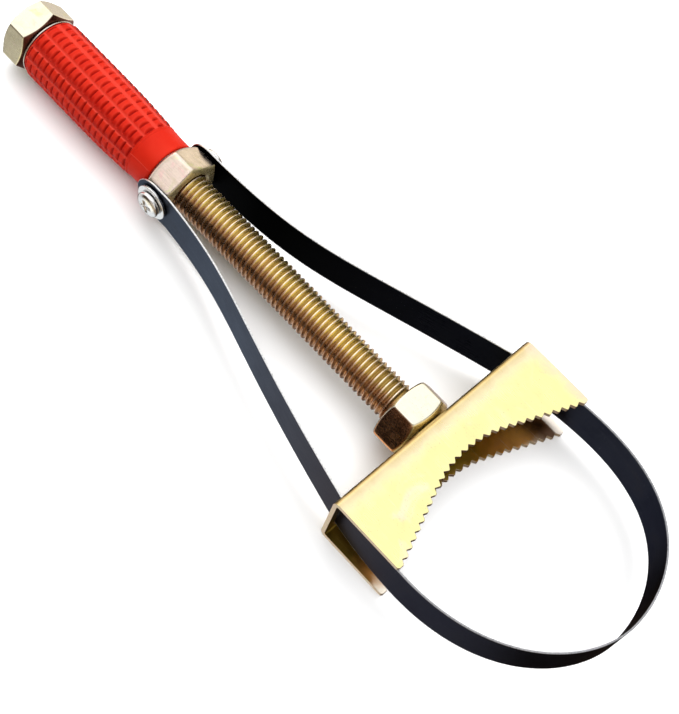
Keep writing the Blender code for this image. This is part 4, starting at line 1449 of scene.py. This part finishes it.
def build_band():
    half = BAND_WIDTH / 2
    edge = 0.13
    mats = [MATS["band"], MATS["band_edge"]]
    halves = {}
    for side, label in ((1, "left"), (-1, "right")):
        leg, rest, screw_x = band_lines(side)
        halves[side] = rest
        place, s = ribbon(leg, side > 0)
        nose = [
            (half - half * math.cos(a), half * math.sin(a))
            for a in np.linspace(-math.pi / 2, math.pi / 2, 41)[1:-1]
        ]
        # material on the left: along the lower edge, up the far end, back, round the nose
        stations = list(s[3:])
        outline = [(half, -half)] + [(u, -half) for u in stations]
        outline += [(u, half) for u in stations[::-1]] + [(half, half)]
        outline += nose[::-1]
        hole = circle(half, 0.0, BAND_HOLE, 40)[::-1]
        guides = [((u, -half + edge), (u, half - edge)) for u in stations[:-1]]
        obj = sheet(
            f"strap_leg_{label}", [outline, hole], guides, place, BAND_THICKNESS, edge, mats
        )
        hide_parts("strap_band")
        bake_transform(obj)
    line = np.concatenate([halves[1], halves[-1][::-1][1:]])
    place, s = ribbon(line, True)
    outline = [(u, -half) for u in s] + [(u, half) for u in s[::-1]]
    guides = [((u, -half + edge), (u, half - edge)) for u in s[1:-1]]
    obj = sheet("strap_loop", [outline], guides, place, BAND_THICKNESS, edge, mats)
    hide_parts("strap_band")
    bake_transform(obj)


# ---- screws and washers on the collar --------------------------------------


def boolean_cut(obj, cutter):
    modifier = obj.modifiers.new("cut", "BOOLEAN")
    modifier.operation = "DIFFERENCE"
    modifier.solver = "EXACT"
    modifier.object = cutter
    graph = bpy.context.evaluated_depsgraph_get()
    mesh = bpy.data.meshes.new_from_object(obj.evaluated_get(graph))
    obj.modifiers.clear()
    old = obj.data
    obj.data = mesh
    mesh.name = old.name
    bpy.data.meshes.remove(old)
    bpy.data.objects.remove(cutter, do_unlink=True)


def build_fasteners():
    for side, label in ((1, "left"), (-1, "right")):
        axis = "+Y" if side > 0 else "-Y"
        lo, hi = box(f"strap_washer_{label}")
        x = (lo[0] + hi[0]) / 2
        near, far = sorted((abs(lo[1]), abs(hi[1])))
        outer = hi[2]
        obj = turned_piece(
            f"strap_washer_{label}_detailed",
            [(0, 2.6), (0, outer), (far - near, outer), (far - near, 2.6)],
            0.24,
            80,
            [MATS["blue_zinc"]],
            (x, side * near, 0),
            axis,
        )
        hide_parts(f"strap_washer_{label}")
        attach(obj, "collar")

        lo, hi = box(f"strap_screw_{label}")
        tip, top = sorted((abs(lo[1]), abs(hi[1])))
        height = 2.2
        seat = top - height
        radius = hi[2]
        dome = [
            (height * (0.42 + 0.58 * math.sin(a)), radius * math.cos(a) ** 0.62)
            for a in (math.pi / 2 * i / 14 for i in range(14))
        ]
        under = tip - seat
        profile = [(under, 0.0), (under, 1.7), (under + 0.5, 2.2), (0.0, 2.2), (0.0, radius - 0.12), (0.12, radius)]
        profile += dome + [(height, 0.0)]
        radii = [0, 0.1, 0.1, 0.05, 0.1, 0.2] + [0.0] * len(dome) + [0]
        obj = turned_piece(
            f"strap_screw_{label}_detailed",
            profile,
            radii,
            64,
            [MATS["blue_zinc"]],
            (x, side * seat, 0),
            axis,
            closed=False,
        )
        # tapered cross recess, with a pointed bottom
        layers = []
        for depth, w, span in ((-0.6, 0.74, 3.1), (1.2, 0.50, 1.75), (1.7, 0.42, 1.0)):
            layers.append((height - depth, w, span))
        corners = [
            (1, 1, 0), (1, 1, 1), (-1, 1, 1), (-1, 1, 0), (-1, 1, 2), (-1, -1, 2),
            (-1, -1, 0), (-1, -1, 1), (1, -1, 1), (1, -1, 0), (1, -1, 2), (1, 1, 2),
        ]  # fmt: skip
        verts, faces = [], []
        turn = math.radians(20)
        for xx, w, span in layers:
            for a, b, kind in corners:
                p, q = a * w, b * w
                if kind == 1:
                    q = b * span
                if kind == 2:
                    p = a * span
                verts.append((xx, p * math.cos(turn) - q * math.sin(turn), p * math.sin(turn) + q * math.cos(turn)))
        for j in range(len(layers) - 1):
            for i in range(12):
                i2 = (i + 1) % 12
                faces.append((12 * j + i, 12 * j + i2, 12 * j + 12 + i2, 12 * j + 12 + i))
        verts.append((height - 1.95, 0.0, 0.0))
        last = 12 * (len(layers) - 1)
        for i in range(12):
            faces.append((last + i, last + (i + 1) % 12, len(verts) - 1))
        faces.append(tuple(range(11, -1, -1)))
        cutter = build(
            "recess_cutter",
            np.array(verts) @ AXES[axis].T + np.array((x, side * seat, 0)),
            faces,
            [MATS["blue_zinc"]],
        )
        boolean_cut(obj, cutter)
        obj.data.shade_smooth()
        obj.data.set_sharp_from_angle(angle=math.radians(32))
        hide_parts(f"strap_screw_{label}")
        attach(obj, "collar")


# ---- studio ----------------------------------------------------------------

# directions in the frame's axes, with the two cosines between which each fades out
REFLECTIONS = [
    # direction, full within this cosine, gone at this cosine, colour, strength
    ((-0.20, 0.25, 0.95), 0.88, 0.52, (1.0, 1.0, 1.0), 1.15),
    ((-0.24, -0.52, 0.82), 0.985, 0.90, (1.0, 0.86, 0.82), 0.54),
    ((-0.18, 0.98, 0.10), 0.97, 0.88, (1.0, 0.88, 0.62), 0.56),
    ((-0.08, 0.84, -0.54), 0.96, 0.86, (1.0, 0.84, 0.84), 0.57),
    ((-0.20, -0.82, -0.52), 0.985, 0.93, (1.0, 0.90, 0.62), 0.74),
    ((-0.20, -0.40, -0.90), 0.96, 0.74, (0.94, 0.98, 1.0), 0.82),
    ((-0.80, 0.43, 0.32), 0.97, 0.87, (1.0, 0.86, 0.62), 0.80),
    # pale studio walls all round
    ((-0.90, -0.30, -0.35), 0.97, 0.88, (1.0, 0.97, 0.94), 0.62),
    ((-0.92, -0.12, 0.37), 0.95, 0.80, (1.0, 0.98, 0.95), 0.75),
    ((0.90, -0.05, 0.44), 0.93, 0.80, (1.0, 0.98, 0.95), 0.75),
    ((0.25, -0.88, 0.40), 0.96, 0.90, (1.0, 0.90, 0.76), 0.42),
    ((0.62, -0.72, 0.30), 0.95, 0.84, (1.0, 0.78, 0.54), 0.26),
    ((0.62, -0.70, -0.35), 0.95, 0.80, (1.0, 0.78, 0.54), 0.24),
    ((0.10, -0.92, -0.38), 0.97, 0.92, (1.0, 0.82, 0.60), 0.30),
    ((-0.42, 0.86, -0.28), 0.96, 0.87, (1.0, 0.95, 0.88), 0.50),
    ((0.35, 0.88, -0.30), 0.96, 0.88, (1.0, 0.95, 0.88), 0.50),
]
REFLECTION_BASE = (0.046, 0.027, 0.016)
# the same for the soft light that falls on matt surfaces
SOFT_LIGHT = [((0.0, 0.22, 0.97), 0.97, 0.38, (1.0, 1.0, 1.0), 2.9)]
SOFT_BASE = (0.23, 0.23, 0.23)


def lobes(tree, coordinate, items, base):
    total = None
    for direction, full, gone, colour, strength in items:
        dot = tree.nodes.new("ShaderNodeVectorMath")
        dot.operation = "DOT_PRODUCT"
        tree.links.new(coordinate, dot.inputs[0])
        dot.inputs[1].default_value = tuple(unit(direction))
        fade = tree.nodes.new("ShaderNodeMapRange")
        fade.interpolation_type = "SMOOTHSTEP"
        tree.links.new(dot.outputs["Value"], fade.inputs["Value"])
        fade.inputs["From Min"].default_value = gone
        fade.inputs["From Max"].default_value = full
        scale = tree.nodes.new("ShaderNodeVectorMath")
        scale.operation = "SCALE"
        scale.inputs[0].default_value = tuple(c * strength for c in colour)
        tree.links.new(fade.outputs[0], scale.inputs["Scale"])
        if total is None:
            total = scale.outputs[0]
        else:
            add = tree.nodes.new("ShaderNodeVectorMath")
            add.operation = "ADD"
            tree.links.new(total, add.inputs[0])
            tree.links.new(scale.outputs[0], add.inputs[1])
            total = add.outputs[0]
    whole = tree.nodes.new("ShaderNodeVectorMath")
    whole.operation = "ADD"
    tree.links.new(total, whole.inputs[0])
    whole.inputs[1].default_value = base
    background = tree.nodes.new("ShaderNodeBackground")
    tree.links.new(whole.outputs[0], background.inputs["Color"])
    return background


def build_world():
    world = bpy.data.worlds.new("studio")
    bpy.context.scene.world = world
    world.use_nodes = True
    world.cycles.sampling_method = "NONE"
    tree = world.node_tree
    tree.nodes.clear()
    out = tree.nodes.new("ShaderNodeOutputWorld")
    coordinate = tree.nodes.new("ShaderNodeTexCoord").outputs["Generated"]
    glossy = lobes(tree, coordinate, REFLECTIONS, REFLECTION_BASE)
    soft = lobes(tree, coordinate, SOFT_LIGHT, SOFT_BASE)
    seen = tree.nodes.new("ShaderNodeBackground")
    seen.inputs["Color"].default_value = (1, 1, 1, 1)
    seen.inputs["Strength"].default_value = 1.05
    path = tree.nodes.new("ShaderNodeLightPath")
    first = tree.nodes.new("ShaderNodeMixShader")
    tree.links.new(path.outputs["Is Glossy Ray"], first.inputs[0])
    tree.links.new(soft.outputs[0], first.inputs[1])
    tree.links.new(glossy.outputs[0], first.inputs[2])
    second = tree.nodes.new("ShaderNodeMixShader")
    tree.links.new(path.outputs["Is Camera Ray"], second.inputs[0])
    tree.links.new(first.outputs[0], second.inputs[1])
    tree.links.new(seen.outputs[0], second.inputs[2])
    tree.links.new(second.outputs[0], out.inputs["Surface"])


def area_light(name, location, target, size, power, colour=(1, 1, 1), glossy=False):
    light = bpy.data.lights.new(name, "AREA")
    light.shape = "RECTANGLE"
    light.size, light.size_y = size
    light.energy = power
    light.color = colour
    obj = bpy.data.objects.new(name, light)
    bpy.context.scene.collection.objects.link(obj)
    obj.location = location
    obj.rotation_mode = "QUATERNION"
    obj.rotation_quaternion = (Vector(target) - Vector(location)).to_track_quat("-Z", "Y")
    obj.visible_glossy = glossy
    obj.visible_camera = False
    return obj


def build_studio():
    build_world()
    lo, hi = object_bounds()
    mesh = bpy.data.meshes.new("floor")
    z, size = lo.z - 0.00005, 3.0
    mesh.from_pydata(
        [(-size, -size, z), (size, -size, z), (size, size, z), (-size, size, z)],
        [],
        [(0, 1, 2, 3)],
    )
    floor = bpy.data.objects.new("floor", mesh)
    bpy.context.scene.collection.objects.link(floor)
    s = Shader("floor_paper")
    s.set(Base_Color=(0.9, 0.9, 0.9), Roughness=0.9, Specular_IOR_Level=0.0)
    geometry = s.tree.nodes.new("ShaderNodeNewGeometry")
    clear = s.tree.nodes.new("ShaderNodeBsdfTransparent")
    choose = s.tree.nodes.new("ShaderNodeMixShader")
    s.tree.links.new(geometry.outputs["Backfacing"], choose.inputs[0])
    s.tree.links.new(s.bsdf.outputs[0], choose.inputs[1])
    s.tree.links.new(clear.outputs[0], choose.inputs[2])
    s.tree.links.new(choose.outputs[0], s.out.inputs[0])
    mesh.materials.append(s.material)
    floor.visible_glossy = False
    centre = (0.14, 0.0, 0.0)
    area_light("key", (0.02, 0.75, 0.95), centre, (0.7, 0.5), 2.9)
    area_light("fill", (0.45, -0.55, 1.0), centre, (0.9, 0.9), 0.6)


def build_camera():
    right = Vector((0.67899, 0.71258, 0.17666))
    down = Vector((0.69979, -0.55543, -0.44921))
    forward = Vector((-0.22197, 0.42863, -0.87579))
    camera = bpy.data.cameras.new("camera")
    camera.sensor_width = 36.0
    camera.lens = 1423.656 * 36.0 / 714.0
    camera.clip_start, camera.clip_end = 0.01, 20.0
    obj = bpy.data.objects.new("camera", camera)
    bpy.context.scene.collection.objects.link(obj)
    turn = Matrix((right, -down, -forward)).transposed()
    obj.matrix_world = Matrix.Translation((0.25623, -0.19356, 0.38978)) @ turn.to_4x4()
    bpy.context.scene.camera = obj


build_jaw()
build_spindle()
lo, hi = box("collar_nut")
hexagon_piece(
    "collar_nut_detailed", "collar_nut", hi[1] - lo[1], math.radians(30), 7.15, 1.5, 0.5,
    [MATS["collar"]], "collar", 0.32,
)  # fmt: skip
build_band()
build_fasteners()
build_studio()
build_camera()
settings = bpy.context.scene.view_settings
settings.view_transform = "Standard"
settings.look = "None"

bpy.context.view_layer.update()
